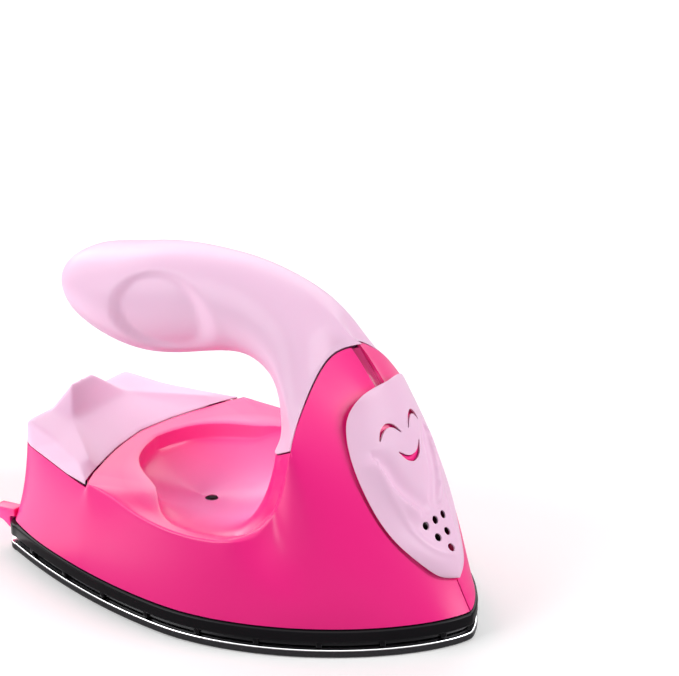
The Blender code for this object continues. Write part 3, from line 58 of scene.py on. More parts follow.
# Shape tables, as shares of the sole's length, its half width and the body's rise. A column of the
# wall runs from its foot on the sole's outline to its point in EDGE. The last ten also pass through
# HOOD_LOW and HOOD_HIGH.
REAR_FOOT = [(0.0, 0.0), (0.0, 0.285), (0.0, 0.555), (0.010, 0.652), (0.033, 0.702)]
SIDE_FOOT = [0.111, 0.185, 0.252, 0.259, 0.306, 0.380, 0.463, 0.537, 0.593, 0.620]
NOSE_FOOT = [0.657, 0.694, 0.731, 0.759, 0.792, 0.833, 0.870, 0.907, 0.944, 0.972, 0.992, 1.0]
EDGE = [
    (0.006, 0.000, 0.312), (0.006, 0.256, 0.312), (0.006, 0.444, 0.312), (0.012, 0.487, 0.312),
    (0.033, 0.530, 0.313), (0.115, 0.627, 0.315), (0.185, 0.709, 0.316), (0.252, 0.778, 0.317),
    (0.259, 0.783, 0.339), (0.306, 0.792, 0.337), (0.380, 0.849, 0.316), (0.463, 0.886, 0.303),
    (0.537, 0.880, 0.300), (0.593, 0.852, 0.307), (0.614, 0.835, 0.315), (0.632, 0.818, 0.324),
    (0.651, 0.769, 0.339), (0.669, 0.701, 0.363), (0.680, 0.621, 0.416), (0.694, 0.607, 0.489),
    (0.706, 0.604, 0.592), (0.713, 0.593, 0.678), (0.709, 0.521, 0.755), (0.706, 0.379, 0.858),
    (0.701, 0.222, 0.933), (0.706, 0.083, 0.976), (0.744, 0.000, 1.000),
]
HOOD_LOW = [
    (0.705, 0.809, 0.127), (0.737, 0.755, 0.140), (0.762, 0.712, 0.159), (0.798, 0.644, 0.210),
    (0.826, 0.570, 0.236), (0.857, 0.479, 0.262), (0.883, 0.345, 0.298), (0.905, 0.214, 0.322),
    (0.911, 0.083, 0.337), (0.913, 0.000, 0.345),
]
HOOD_HIGH = [
    (0.684, 0.775, 0.238), (0.706, 0.700, 0.272), (0.726, 0.670, 0.309), (0.752, 0.640, 0.403),
    (0.765, 0.598, 0.457), (0.789, 0.513, 0.509), (0.812, 0.387, 0.579), (0.830, 0.236, 0.629),
    (0.842, 0.091, 0.655), (0.843, 0.000, 0.672),
]
# The top: the deck's front edge, the ledge under it, the bowl's rim and how much of its upright wall
# stands there, the foot of that wall's slope, and the line that the floor runs to. That line follows
# the middle up to SEAM_LEAVES_CENTRE and the handle's foot from there on.
ARC = [(0.185, 0.000), (0.197, 0.254), (0.211, 0.419), (0.226, 0.560), (0.236, 0.650)]
ARC_HEIGHT = 0.334
REBATE_DEPTH = [1.0, 1.0, 1.0, 0.9, 0.5, 0.0]
RIM = [
    (0.224, 0.000, 0.331), (0.240, 0.199, 0.331), (0.266, 0.330, 0.330), (0.310, 0.439, 0.328),
    (0.361, 0.521, 0.322), (0.380, 0.581, 0.319), (0.403, 0.652, 0.309), (0.435, 0.741, 0.296),
    (0.477, 0.792, 0.288), (0.532, 0.792, 0.285), (0.580, 0.764, 0.290), (0.602, 0.741, 0.296),
    (0.619, 0.724, 0.307), (0.639, 0.684, 0.322), (0.657, 0.638, 0.356), (0.673, 0.590, 0.419),
    (0.689, 0.584, 0.498), (0.703, 0.593, 0.599), (0.713, 0.593, 0.678),
]
RECESS = [1.0, 1.0, 1.0, 1.0, 0.9, 0.5, 0.15, 0.05] + [0.0] * 11
FALL = [
    (0.287, 0.000, 0.124), (0.301, 0.100, 0.124), (0.315, 0.171, 0.124), (0.343, 0.228, 0.127),
    (0.380, 0.271, 0.131), (0.389, 0.299, 0.135), (0.407, 0.328, 0.139), (0.438, 0.356, 0.146),
    (0.481, 0.385, 0.157), (0.532, 0.399, 0.165), (0.569, 0.427, 0.170), (0.579, 0.456, 0.180),
    (0.594, 0.484, 0.217), (0.619, 0.513, 0.292), (0.644, 0.541, 0.386), (0.662, 0.541, 0.479),
    (0.681, 0.553, 0.554), (0.697, 0.570, 0.629), (0.713, 0.593, 0.678),
]
SEAM = [
    (0.352, 0.000, 0.112), (0.361, 0.000, 0.112), (0.370, 0.000, 0.112), (0.380, 0.000, 0.112),
    (0.389, 0.000, 0.112), (0.398, 0.000, 0.112), (0.412, 0.000, 0.114), (0.444, 0.000, 0.120),
    (0.491, 0.000, 0.135), (0.546, 0.000, 0.187), (0.586, 0.000, 0.330), (0.611, 0.000, 0.573),
    (0.613, 0.199, 0.573), (0.623, 0.353, 0.575), (0.644, 0.439, 0.590), (0.662, 0.473, 0.610),
    (0.678, 0.507, 0.631), (0.696, 0.550, 0.655), (0.713, 0.593, 0.678),
]
# Columns to each span of these tables, and share of the way to the slope that the upright wall takes
STEPS, UPRIGHT_SHARE = 8, 0.07
# How the rounding of the body's upper edge varies: places in spans along the top, and times edge_round
ROUND_AT, ROUND_TIMES = [5, 5.6, 11, 13.5, 15, 17, 18], [0, 1, 1, 2.2, 3.4, 1.6, 0.4]
# Rows over the rounded edge, the land, the upright wall and the floor
ROUND_ROWS, LAND_ROWS, UPRIGHT_ROWS, FLOOR_ROWS = 7, 6, 9, 21
# How much of the upright wall's drop eases in and out, and what draws the floor's curve: its inner
# point between the line and the slope, the same at the lamp, and its outer point towards the slope
DROP_EASED, INNER_SHARE, LEVEL_SHARE, OUTER_SHARE = 0.85, 0.45, 0.55, 0.67
TOP_STARTS_AT_EDGE = 8
SEAM_LEAVES_CENTRE = 11
CORNER_EDGE = 21
# Deck: peak, notch, shoulder, middle, side and the two ends of its fold
DECK_PEAK, DECK_NOTCH = (0.025, 0.085, 0.502), (0.009, 0.242, 0.412)
DECK_CORNER, DECK_MIDDLE = (0.012, 0.474, 0.417), (0.076, 0.268, 0.397)
DECK_SIDE = (0.206, 0.575, 0.371)
DECK_FOLD = [(0.115, 0.547, 0.386), (0.199, 0.652, 0.365)]
DECK_FRONT_HEIGHT = 0.339
DECK_CUTS, DECK_PASSES = 9, 4
# Handle stations from the rear: upper point, lower point, half width and how far each station
# takes the seam's outline
HANDLE_TOP = [
    (0.030, 0.847), (0.037, 0.871), (0.051, 0.895), (0.083, 0.921), (0.130, 0.938), (0.189, 0.957),
    (0.250, 0.979), (0.315, 0.993), (0.380, 0.999), (0.444, 1.000), (0.500, 0.992), (0.557, 0.973),
    (0.610, 0.947), (0.647, 0.917), (0.676, 0.889), (0.700, 0.864), (0.722, 0.837),
]
HANDLE_LOW = [
    (0.031, 0.825), (0.038, 0.803), (0.051, 0.773), (0.083, 0.718), (0.130, 0.682), (0.189, 0.656),
    (0.250, 0.645), (0.315, 0.659), (0.380, 0.687), (0.444, 0.712), (0.494, 0.721), (0.535, 0.709),
    (0.565, 0.689), (0.588, 0.665), (0.603, 0.633), (0.612, 0.596), (0.617, 0.552),
]
HANDLE_WIDTH = [
    0.10, 0.38, 0.61, 0.84, 0.95, 1.0, 0.98, 0.92, 0.85, 0.79, 0.77, 0.79, 0.85, 0.93, 1.04, 1.18, 1.38,
]
HANDLE_BLEND = [0.0] * 12 + [0.05, 0.15, 0.35, 0.6, 0.85]
# The finger dimple's middle, and how wide its bank is at its rear and its front end
DIMPLE, DIMPLE_BANK = (0.340, 0.825), (0.16, 0.46)
HANDLE_SCREWS = [(0.110, 0.805), (0.380, 0.835), (0.633, 0.766)]
# Oval plate: half outline from its top, the line down its middle, and the marks cut in it
PLATE_EDGE = [
    (0.798, 0.000, 0.876), (0.785, 0.195, 0.858), (0.775, 0.300, 0.793), (0.782, 0.348, 0.722),
    (0.800, 0.376, 0.633), (0.821, 0.382, 0.549), (0.854, 0.362, 0.425), (0.889, 0.308, 0.315),
    (0.929, 0.199, 0.208), (0.951, 0.120, 0.154), (0.967, 0.000, 0.128),
]
PLATE_MIDDLE = [
    (0.128, 0.967), (0.154, 0.967), (0.217, 0.960), (0.249, 0.948), (0.294, 0.927), (0.341, 0.907),
    (0.382, 0.901), (0.423, 0.894), (0.500, 0.876), (0.588, 0.861), (0.704, 0.836), (0.876, 0.798),
]
PLATE_LEAN = np.array((0.87, 0.0, 0.493))
WINDOW_SHARE, WINDOW_FIRST_ROW = 0.72, 34
VENTS = [
    (0.907, 0.0, 0.343), (0.907, 0.091, 0.343), (0.907, -0.091, 0.343),
    (0.927, 0.048, 0.294), (0.927, -0.048, 0.294), (0.947, 0.0, 0.249),
]
SMILE = [(-0.105, 0.629), (-0.055, 0.598), (0.0, 0.588), (0.055, 0.598), (0.105, 0.629)]
EYE = [(0.037, 0.691), (0.080, 0.722), (0.125, 0.730), (0.165, 0.715), (0.197, 0.684)]
CREST = [(0.270, 0.606), (0.250, 0.555), (0.226, 0.505), (0.185, 0.456), (0.105, 0.395)]
BORDER = [(0.273, 0.612), (0.262, 0.520), (0.236, 0.440), (0.182, 0.333), (0.115, 0.268), (0.0, 0.223)]
# Where the crest fades out above and below, and the border above: height and height of the fade
CREST_TOP, CREST_FOOT, BORDER_TOP = (0.66, 0.06), (0.36, 0.05), (0.63, 0.08)
# The lamp's hole, the middle of the painted sheen that pales the bowl's floor, how that sheen fades and the
# groove's painted shade
LAMP, BOWL_SHEEN_MIDDLE = (0.3677, 0.0, 0.112), (0.43, 0.0, 0.0)
BOWL_SHEEN_FADE, GROOVE_PAINTED_SHADE = (0.35, 1.0), 0.55
# How far a cutter reaches past what it cuts
OVERRUN = 0.004
# Points along the outline's half heel and round its corner
HEEL_POINTS, CORNER_POINTS = 8, 12
# The camera, worked out for a sole of 108 mm: its right, up and forward axes, its target, and how
# far it stands from that along the three axes
CAMERA_AXES = [Vector(v) for v in ((0.81767, 0.57568, -0.00332), (-0.22002, 0.31782, 0.92227),
                                   (-0.53198, 0.75338, -0.38653))]
CAMERA_TARGET, CAMERA_OFFSET, CAMERA_SOLE = Vector((54.0, 0.0, 20.0)), (16.631, 32.331, -500.347), 108.0
LENS, SENSOR = 122.29, 36.0
# Lamps: place, width, height and watts. All aim at LAMP_TARGET
LAMP_TARGET = (0.0, 0.0, 0.03)
LAMPS = {
    "key": ((-0.60, -0.95, 0.62), 0.9, 0.8, 10.9),
    "front": ((0.95, 0.25, 0.60), 0.7, 0.7, 10.0),
    "back": ((-0.62, 0.88, 0.52), 1.6, 0.8, 7.6),
    "left": ((-1.00, 0.15, 0.50), 1.0, 0.7, 5.0),
}
# How the floor's glow grows with distance and the overhead reflection with height, each from and to
# and its strengths there, and the dim white that lights all other rays
FLOOR_GLOW, OVERHEAD, AMBIENT = (0.15, 0.80, 0.12, 1.0), (0.15, 0.80, 0.40, 2.6), 0.22
# A card on the floor that throws light up at the handle's underside
CARD_PLACE, CARD_SIZE, CARD_WATTS = (-0.14, -0.10, 0.002), (0.18, 0.16), 0.13


# Sizes and colours that a user would change


def length(text, default):
    return bpy.props.FloatProperty(description=text, default=default, min=0.0, max=1.0, precision=5,
                                   subtype="DISTANCE", unit="LENGTH")


def colour(text, default):
    return bpy.props.FloatVectorProperty(description=text, default=default, min=0.0, max=1.0, size=3,
                                         subtype="COLOR")


class CraftIronSizes(bpy.types.PropertyGroup):
    """Sizes of the iron's surfaces; the overall ones start from the loaded frame."""

    sole_length: length("Soleplate from heel to nose", SOLE_BOX[1].x - SOLE_BOX[0].x)
    sole_half_width: length("Half the soleplate's widest place", SOLE_BOX[1].y)
    heel_half_width: length("Half the soleplate's width at its heel", 0.0243)
    widest_at: length("Distance of the widest place from the heel", 0.0546)
    hood_height: length("Top of the hood over the sole", 0.0609)
    handle_height: length("Top of the handle over the sole", 0.0737)
    corner_radius: length("Radius of the heel's corners in plan", 0.0036)
    body_bottom: length("Lower edge of the body over the sole", 0.0067)
    body_inset: length("How far the body's foot stands inside the sole", 0.0005)
    sole_thickness: length("Thickness of the soleplate's rim", 0.0020)
    groove_height: length("Height of the groove over the soleplate", 0.0016)
    groove_depth: length("Depth of the groove over the soleplate", 0.0013)
    skirt_top: length("Upper edge of the black skirt over the sole", 0.0064)
    tongue_inset: length("How far the skirt's ledge runs inwards", 0.0130)
    flange_inset: length("Where the skirt's lower flange ends", 0.0078)
    pad_inset: length("Where the soleplate's raised pad starts", 0.0084)
    pad_top: length("Top of the soleplate's raised pad", 0.0042)
    rib_pitch: length("Distance between the groove's ribs", 0.0134)
    rib_width: length("Width of each rib in the groove", 0.0012)
    body_wall: length("Wall of the body's shell", 0.0014)
    handle_wall: length("Wall of the handle's shell", 0.0015)
    deck_wall: length("Wall of the rear deck", 0.0012)
    rebate_width: length("Width of the ledge under the deck's front edge", 0.0032)
    recess_depth: length("Depth of the bowl's upright wall", 0.0026)
    flank_bulge: length("How far the flanks swell outwards", 0.0004)
    edge_round: length("Rounding of the body's upper edge", 0.0006)
    gap: length("Gap between neighbouring mouldings", 0.0003)
    plate_proud: length("How far the nose plate stands in front of its seat", 0.0003)
    plate_wall: length("Thickness of the nose plate", 0.0008)
    vent_radius: length("Radius of the nose plate's vents", 0.0009)
    line_width: length("Width of the lines cut in the nose plate", 0.0009)
    mark_depth: length("Depth of those lines under the plate's plain face", 0.0003)
    # The bowl's floor is paler over this ellipse: a painted sheen in the body's colour
    bowl_sheen_half_length: length("Half length of the bowl's paler floor", 0.0235)
    bowl_sheen_half_width: length("Half width of the bowl's paler floor", 0.0270)
    hood_groove_width: length("Width of the groove down the hood", 0.0026)
    hood_groove_depth: length("Depth of the groove down the hood", 0.0011)
    grip_half_width: length("Half the handle's width at the grip", 0.0132)
    dimple_length: length("Half length of the finger dimple", 0.0138)
    dimple_height: length("Half height of the finger dimple", 0.0100)
    dimple_depth: length("Depth of the finger dimple", 0.0016)
    screw_radius: length("Radius of the handle screws' shafts", 0.0011)
    head_radius: length("Radius of the handle screws' heads", 0.0021)
    foot_reach: length("How far the heel feet stand out behind", 0.0052)
    foot_width: length("Width of each heel foot", 0.0033)
    foot_height: length("Height of each heel foot", 0.0027)
    foot_offset: length("Distance of each heel foot from the middle", 0.0213)
    foot_web: length("How far the web under each heel foot reaches down", 0.0032)
    gland_radius: length("Radius of the cord gland", 0.0032)
    lamp_hole: length("Radius of the hole in the bowl", 0.0015)
    lip_width: length("Width of the lip round the bowl's rim", 0.0004)
    rebate_room: length("Room between the deck's wall and the ledge under it", 0.0008)
    groove_bank: length("Width of each bank of the hood's groove", 0.0003)
    groove_tuck: length("How far the hood's groove runs on under the nose plate", 0.002)
    line_depth_high: length("Depth of the nose's parting line under the plate", 0.0006)
    line_depth_low: length("Depth of the nose's parting line at the toe", 0.0022)
    crest_height: length("Height of the crest across the nose plate", 0.0008)
    crest_inner: length("Width of the crest's steep inner side", 0.0008)
    crest_outer: length("Width of the crest's outer side", 0.0022)
    spoon_depth: length("Depth of the hollow inside the crest", 0.00075)
    spoon_width: length("Half width of that hollow", 0.0018)
    border_height: length("Height of the fine border round the plate's lower part", 0.0003)
    border_width: length("Half width of that border", 0.0007)
    head_rim: length("Height of a handle screw's head at its rim", 0.0008)
    head_height: length("Height of a handle screw's head round its crown", 0.0013)
    head_crown: length("Height of a handle screw's head at its middle", 0.00132)
    shaft_length: length("Visible length of a handle screw's shaft", 0.003)
    cross_floor: length("Height of the cross's floor over the head's seat", 0.0007)
    cross_width: length("Width of the cross's arms", 0.00044)
    gland_bore: length("Radius of the gland's bore", 0.0016)
    body_soft: length("Rounding of the edges cut in the body", 0.00026)
    cover_soft: length("Rounding of the edges of the handle, the deck and the ribs", 0.00015)
    plate_soft: length("Rounding of the nose plate's edges", 0.00020)
    foot_soft: length("Rounding of the heel feet", 0.00035)
    fine_round: length("Rounding of the skirt's and the soleplate's inner edges", 0.0002)
    lip_round: length("Rounding of the skirt's edge over the groove", 0.00035)
    shoulder_round: length("Rounding of the skirt's upper edge", 0.0006)
    sole_round: length("Rounding of the soleplate's lower edge", 0.0007)
    rim_round: length("Rounding of the soleplate's upper edge", 0.0003)


class CraftIronColours(bpy.types.PropertyGroup):
    """Colours of the iron's mouldings and of the floor."""

    hot_pink: colour("Body, in a glossy moulding", (0.92, 0.010, 0.235))
    # Painted sheen: the paler pink that the bowl's floor fades to in its middle
    bowl_sheen_pink: colour("Middle of the bowl's floor", (0.95, 0.27, 0.58))
    pale_pink: colour("Handle, deck and nose plate", (0.85, 0.54, 0.73))
    skirt_black: colour("Skirt under the body", (0.006, 0.0055, 0.007))
    sole_black: colour("Coating of the soleplate", (0.016, 0.015, 0.018))
    # Partly painted highlight: the bright bare band also stands in for the highlight line along the rim
    bare_rim_and_highlight: colour("Bare metal along the soleplate's rim", (0.80, 0.80, 0.82))
    floor: colour("Floor under the iron", (0.92, 0.92, 0.92))


def sizes():
    return bpy.context.scene.craft_iron_sizes


def colours():
    return bpy.context.scene.craft_iron_colours


def shift():
    """From the heel frame, where x starts at the sole's rear edge, to the frame of the whole iron."""
    return np.array((SOLE_BOX[0].x, 0.0, 0.0))


# Surfaces


def spot(shares):
    """Points at shares of the sole's length, its half width and the body's rise."""
    s = sizes()
    scale = np.array((s.sole_length, s.sole_half_width, s.hood_height - s.body_bottom))
    return np.asarray(shares, float) * scale + np.array((0.0, 0.0, s.body_bottom))


def through(points, steps, closed_start=False, closed_end=False):
    """A Catmull-Rom curve through rows of points, steps parts to a span: half of
    2b + (c-a)t + (2a-5b+4c-d)t^2 + (3b-a-3c+d)t^3. A closed end meets its own mirror image."""
    p = np.asarray(points, float)
    flip = np.array((1.0, -1.0, 1.0))
    first = p[1] * flip if closed_start else 2 * p[0] - p[1]
    last = p[-2] * flip if closed_end else 2 * p[-1] - p[-2]
    ends = np.concatenate([first[None], p, last[None]])
    a, b, c, d = (ends[k : len(ends) - 3 + k, None] for k in range(4))
    t = (np.arange(steps) / steps).reshape((1, steps) + (1,) * (p.ndim - 1))
    made = 0.5 * (2 * b + (c - a) * t + (2 * a - 5 * b + 4 * c - d) * t**2 + (3 * b - a - 3 * c + d) * t**3)
    return np.concatenate([made.reshape((-1,) + p.shape[1:]), p[-1:]])


def eased(rows, passes, held=()):
    """Each point moved to a quarter, half and quarter of itself and its neighbours, passes times
    over. The ends and the held rows stay."""
    rows = rows.copy()
    held = [0, len(rows) - 1, *held]
    for _ in range(passes):
        fresh = rows.copy()
        fresh[1:-1] = (rows[:-2] + 2 * rows[1:-1] + rows[2:]) / 4
        fresh[held] = rows[held]
        rows = fresh
    return rows


def half_width(x):
    """Half the sole's width at x: a soft power curve to the widest place, then a full round nose."""
    s = sizes()
    back = np.clip((s.widest_at - x) / s.widest_at, 0.0, 1.0)
    rear = s.sole_half_width - (s.sole_half_width - s.heel_half_width) * back**1.9
    along = np.clip((x - s.widest_at) / (s.sole_length - s.widest_at), 0.0, 1.0)
    nose = s.sole_half_width * (1 - along**1.8) ** 0.704
    return np.where(x < s.widest_at, rear, nose)


def inset_points(points, inset):
    """Plan points moved inwards: drawn together along x, and more at the nose, and across y."""
    s = sizes()
    slim = (s.sole_length - inset * 2.25) / s.sole_length
    made = np.array(points, float)
    made[..., 0] = inset + made[..., 0] * slim
    made[..., 1] = made[..., 1] * (1 - inset / s.sole_half_width)
    return made


def half_outline():
    """The left half of the sole's outline in plan: a straight heel, a quarter round corner, the
    flank in even steps of x, and the nose in steps of a sine so that its tip is round."""
    s = sizes()
    straight = float(half_width(np.array(0.0))) - s.corner_radius
    rise = float(half_width(np.array(s.corner_radius))) - straight
    turn = np.linspace(0, math.pi / 2, CORNER_POINTS + 1)[:-1]
    heel = np.stack([np.zeros(HEEL_POINTS), np.linspace(0, straight, HEEL_POINTS + 1)[:-1]], axis=1)
    corner = np.stack([s.corner_radius * (1 - np.cos(turn)), straight + rise * np.sin(turn)], axis=1)
    x = np.linspace(s.corner_radius, s.widest_at, 41)[:-1]
    nose = s.widest_at + (s.sole_length - s.widest_at) * np.sin(np.linspace(0, math.pi / 2, 65))
    x = np.concatenate([x, nose])
    flank = np.stack([x, half_width(x)], axis=1)
    return np.vstack([heel, corner, flank])


def round_outline():
    """The whole outline, anticlockwise from the heel's middle round the right side."""
    half = half_outline()
    flip = half[-2:0:-1] * np.array((1, -1))
    return np.vstack([half, flip])


def carried(profile):
    """A profile of (inset, z) carried round the sole's outline: rows are profile points."""
    plan = round_outline()
    rows = []
    for inset, z in profile:
        ring = inset_points(plan, inset)
        rows.append(np.column_stack([ring, np.full(len(ring), z)]))
    return np.array(rows)


def rounded_profile(corners, steps=4):
    """Profile points with each corner (inset, z, radius) turned into a quadratic curve that starts
    and ends at the radius's distance from the corner."""
    pts = np.array([(a, b) for a, b, _ in corners], float)
    made = []
    for k, (_, _, radius) in enumerate(corners):
        here, before, after = pts[k], pts[k - 1], pts[(k + 1) % len(pts)]
        if radius == 0:
            made.append(here)
            continue
        start = here + (before - here) * min(0.5, radius / np.linalg.norm(before - here))
        end = here + (after - here) * min(0.5, radius / np.linalg.norm(after - here))
        for t in np.linspace(0, 1, steps + 1):
            made.append((1 - t) ** 2 * start + 2 * t * (1 - t) * here + t**2 * end)
    return np.array(made)


def quads(rows, columns, start=0, wrap_rows=False, wrap_columns=False):
    """Faces of a grid whose points are listed row after row, joined back on itself where it wraps."""
    r = np.arange(rows if wrap_rows else rows - 1)[:, None]
    c = np.arange(columns if wrap_columns else columns - 1)[None]
    r2, c2 = (r + 1) % rows, (c + 1) % columns
    made = np.stack([r * columns + c, r * columns + c2, r2 * columns + c2, r2 * columns + c], axis=-1)
    return made.reshape(-1, 4) + start


def mesh_piece(name, grids, finish, mirror=False, wraps=(False, False), merge=2e-6, outwards=None, caps=()):
    """One object from grids of points, each an array of rows by columns by 3. A mirrored piece gets
    its right side too. Doubles are merged and the faces turned outwards."""
    points, faces, start = [], [], 0
    for grid in grids:
        rows, columns = grid.shape[:2]
        points.append(grid.reshape(-1, 3))
        faces.append(quads(rows, columns, start, *wraps))
        start += rows * columns
    points, faces = np.vstack(points), np.vstack(faces)
    if mirror:
        faces = np.vstack([faces, faces[:, ::-1] + len(points)])
        points = np.vstack([points, points * np.array((1, -1, 1))])
    points = points + shift()
    mesh = bpy.data.meshes.new(name)
    mesh.from_pydata(points, [], [tuple(f) for f in faces.tolist()] + [tuple(c) for c in caps])
    bm = bmesh.new()
    bm.from_mesh(mesh)
    bmesh.ops.remove_doubles(bm, verts=bm.verts, dist=merge)
    bmesh.ops.dissolve_degenerate(bm, edges=bm.edges, dist=merge / 4)
    bmesh.ops.recalc_face_normals(bm, faces=bm.faces)
    if outwards is not None:
        probe = Vector(outwards) + Vector(shift())
        near = min(bm.faces, key=lambda f: (f.calc_center_median() - probe).length)
        if (probe - near.calc_center_median()).dot(near.normal) < 0:
            bmesh.ops.reverse_faces(bm, faces=bm.faces)
    elif bm.calc_volume(signed=True) < 0:
        bmesh.ops.reverse_faces(bm, faces=bm.faces)
    bm.to_mesh(mesh)
    bm.free()
    mesh.shade_smooth()
    mesh.materials.append(finish)
    item = bpy.data.objects.new(name, mesh)
    bpy.context.scene.collection.objects.link(item)
    return item


def wall(item, thickness):
    """Gives a surface its wall, inwards."""
    solid = item.modifiers.new("wall", "SOLIDIFY")
    solid.thickness = thickness
    solid.offset = -1.0
    solid.use_even_offset = True
    solid.thickness_clamp = 1.0


def soften(item, width, angle, segments=2):
    """Rounds the sharp edges, so that each catches a fine line of light."""
    bevel = item.modifiers.new("soft_edges", "BEVEL")
    bevel.width = width
    bevel.segments = segments
    bevel.limit_method = "ANGLE"
    bevel.angle_limit = math.radians(angle)
    bevel.use_clamp_overlap = True
    bevel.harden_normals = False
    bevel.miter_outer = "MITER_ARC"


def apply_modifiers(item):
    graph = bpy.context.evaluated_depsgraph_get()
    fresh = bpy.data.meshes.new_from_object(item.evaluated_get(graph))
    old = item.data
    item.modifiers.clear()
    item.data = fresh
    fresh.name = item.name
    bpy.data.meshes.remove(old)


def cut_away(item, cutters):
    """Cuts each closed cutter out of a piece for good, and removes the cutters."""
    for cutter in cutters:
        change = item.modifiers.new("cut_" + cutter.name, "BOOLEAN")
        change.operation = "DIFFERENCE"
        change.solver = "EXACT"
        change.object = cutter
    apply_modifiers(item)
    for cutter in cutters:
        mesh = cutter.data
        bpy.data.objects.remove(cutter, do_unlink=True)
        bpy.data.meshes.remove(mesh)


def sharp_by_angle(item, angle):
    """Keeps smooth shading off edges that turn by more than an angle."""
    item.data.shade_smooth()
    item.data.set_sharp_from_angle(angle=math.radians(angle))


def turned(name, centre, axis, profile, finish, sides=48):
    """A profile of (distance along the axis, radius) turned round the axis: rows are profile points,
    columns are angles, and both ends close on the axis."""
    along = Vector(axis).normalized()
    spin = np.array(along.to_track_quat("Z", "Y").to_matrix())
    angle = np.linspace(0, 2 * math.pi, sides, endpoint=False)
    profile = np.array([(profile[0][0], 0.0), *profile, (profile[-1][0], 0.0)], float)
    local = np.stack([
        profile[:, 1, None] * np.cos(angle), profile[:, 1, None] * np.sin(angle),
        np.repeat(profile[:, 0, None], sides, axis=1),
    ], axis=-1)
    grid = local @ spin.T + np.array(centre, float)
    return mesh_piece(name, [grid], finish, wraps=(False, True))


def bore(name, centre, axis, radius, low=-OVERRUN, high=OVERRUN, sides=48):
    """A cylinder to cut with, from low to high along its axis."""
    return turned(name, centre, axis, [(low, radius), (high, radius)], finish("hot_pink"), sides)


def finish_piece(item, slot, *nodes, body="iron", sharp=None, soft=None):
    """Ends a piece: its sharp edges by angle, their round as width and least angle, the frame's
    nodes that it replaces, its slot, which is not used, and the body that it rides on."""
    if sharp:
        sharp_by_angle(item, sharp)
    if soft:
        soften(item, *soft)
    if nodes:
        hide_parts(*nodes)
    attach(item, body)


# Finishes


def add_node(tree, kind, links=None, **settings):
    """Adds a node, sets its sockets and properties, and links what it is given."""
    node = tree.nodes.new(kind)
    for key, value in settings.items():
        if key in node.inputs:
            node.inputs[key].default_value = value
        else:
            setattr(node, key, value)
    for socket, source in (links or {}).items():
        tree.links.new(source, node.inputs[socket])
    return node


def limits(low, high, to_low, to_high):
    return {"From Min": low, "From Max": high, "To Min": to_low, "To Max": to_high}


class Nodes:
    """A material of one colour and a short way to lay its nodes."""

    def __init__(self, name, rgb=(0.8, 0.8, 0.8)):
        self.rgb = rgb
        self.material = bpy.data.materials.new(name)
        self.material.use_nodes = True
        self.material.diffuse_color = (*rgb, 1.0)
        self.tree = self.material.node_tree
        self.shader = self.tree.nodes["Principled BSDF"]
        self.place = self.add("ShaderNodeTexCoord").outputs["Object"]

    def add(self, kind, links=None, **settings):
        return add_node(self.tree, kind, links, **settings)

    def noise(self, scale, detail=3.0, roughness=0.5, source=None):
        return self.add("ShaderNodeTexNoise", {"Vector": source or self.place}, Scale=scale, Detail=detail,
                        Roughness=roughness).outputs["Fac"]

    def between(self, source, low, high, to_low, to_high):
        node = self.add("ShaderNodeMapRange", {"Value": source}, **limits(low, high, to_low, to_high))
        return node.outputs["Result"]

    def times(self, first, second):
        return self.add("ShaderNodeMath", {0: first, 1: second}, operation="MULTIPLY").outputs[0]

    def mix(self, factor, first, second):
        node = self.add("ShaderNodeMix", {0: factor}, data_type="RGBA")
        for socket, value in ((node.inputs[6], first), (node.inputs[7], second)):
            if isinstance(value, tuple):
                socket.default_value = value
            else:
                self.tree.links.new(value, socket)
        return node.outputs[2]

    def shade(self, factor):
        return tuple(min(1.0, c * factor) for c in self.rgb) + (1.0,)

    def shades(self, source, low, high, first, second):
        """From one shade of the colour to another as source goes from low to high."""
        return self.mix(self.between(source, low, high, 0.0, 1.0), self.shade(first), self.shade(second))

    def link(self, source, socket):
        self.tree.links.new(source, self.shader.inputs[socket])

    def roughen(self, source, low, high):
        self.link(self.between(source, 0.3, 0.7, low, high), "Roughness")

    def bump(self, height, strength, distance=0.00008):
        node = self.add("ShaderNodeBump", {"Height": height}, Strength=strength, Distance=distance)
        self.link(node.outputs["Normal"], "Normal")

    def set(self, **values):
        for key, value in values.items():
            self.shader.inputs[key.replace("_", " ")].default_value = value


def body_painted_sheen_and_shade(n, base):
    """Painted light in the body's colour: a painted sheen that makes the bowl paler over an ellipse in
    plan, and painted shade that darkens the hood's groove.
    """
    s = sizes()
    middle = spot(BOWL_SHEEN_MIDDLE) + shift()
    plan = n.add("ShaderNodeMapping", {"Vector": n.place})
    plan.inputs["Location"].default_value = (-middle[0] / s.bowl_sheen_half_length, 0.0, 0.0)
    plan.inputs["Scale"].default_value = (1 / s.bowl_sheen_half_length, 1 / s.bowl_sheen_half_width, 0.0)
    away = n.add("ShaderNodeVectorMath", {0: plan.outputs["Vector"]}, operation="LENGTH").outputs["Value"]
    # Painted sheen: towards the ellipse's middle the colour fades to the paler pink of the bowl's floor
    pale = n.mix(n.between(away, *BOWL_SHEEN_FADE, 1.0, 0.0), base, (*colours().bowl_sheen_pink, 1.0))
    # Painted shade: the strip down the hood's groove, from a little under the plate's top on upwards, gets
    # a darker shade of the pink
    split = n.add("ShaderNodeSeparateXYZ", {"Vector": n.place}).outputs
    aside = n.add("ShaderNodeMath", {0: split["Y"]}, operation="ABSOLUTE").outputs[0]
    half, foot = s.hood_groove_width / 2, spot(PLATE_EDGE[0])[2] - s.groove_tuck
    inside = n.between(aside, half - s.groove_bank / 3, half + s.groove_bank * 2 / 3, 1.0, 0.0)
    above = n.between(split["Z"], foot, foot + s.groove_tuck / 4, 0.0, 1.0)
    return n.mix(n.times(inside, above), pale, n.shade(GROOVE_PAINTED_SHADE))


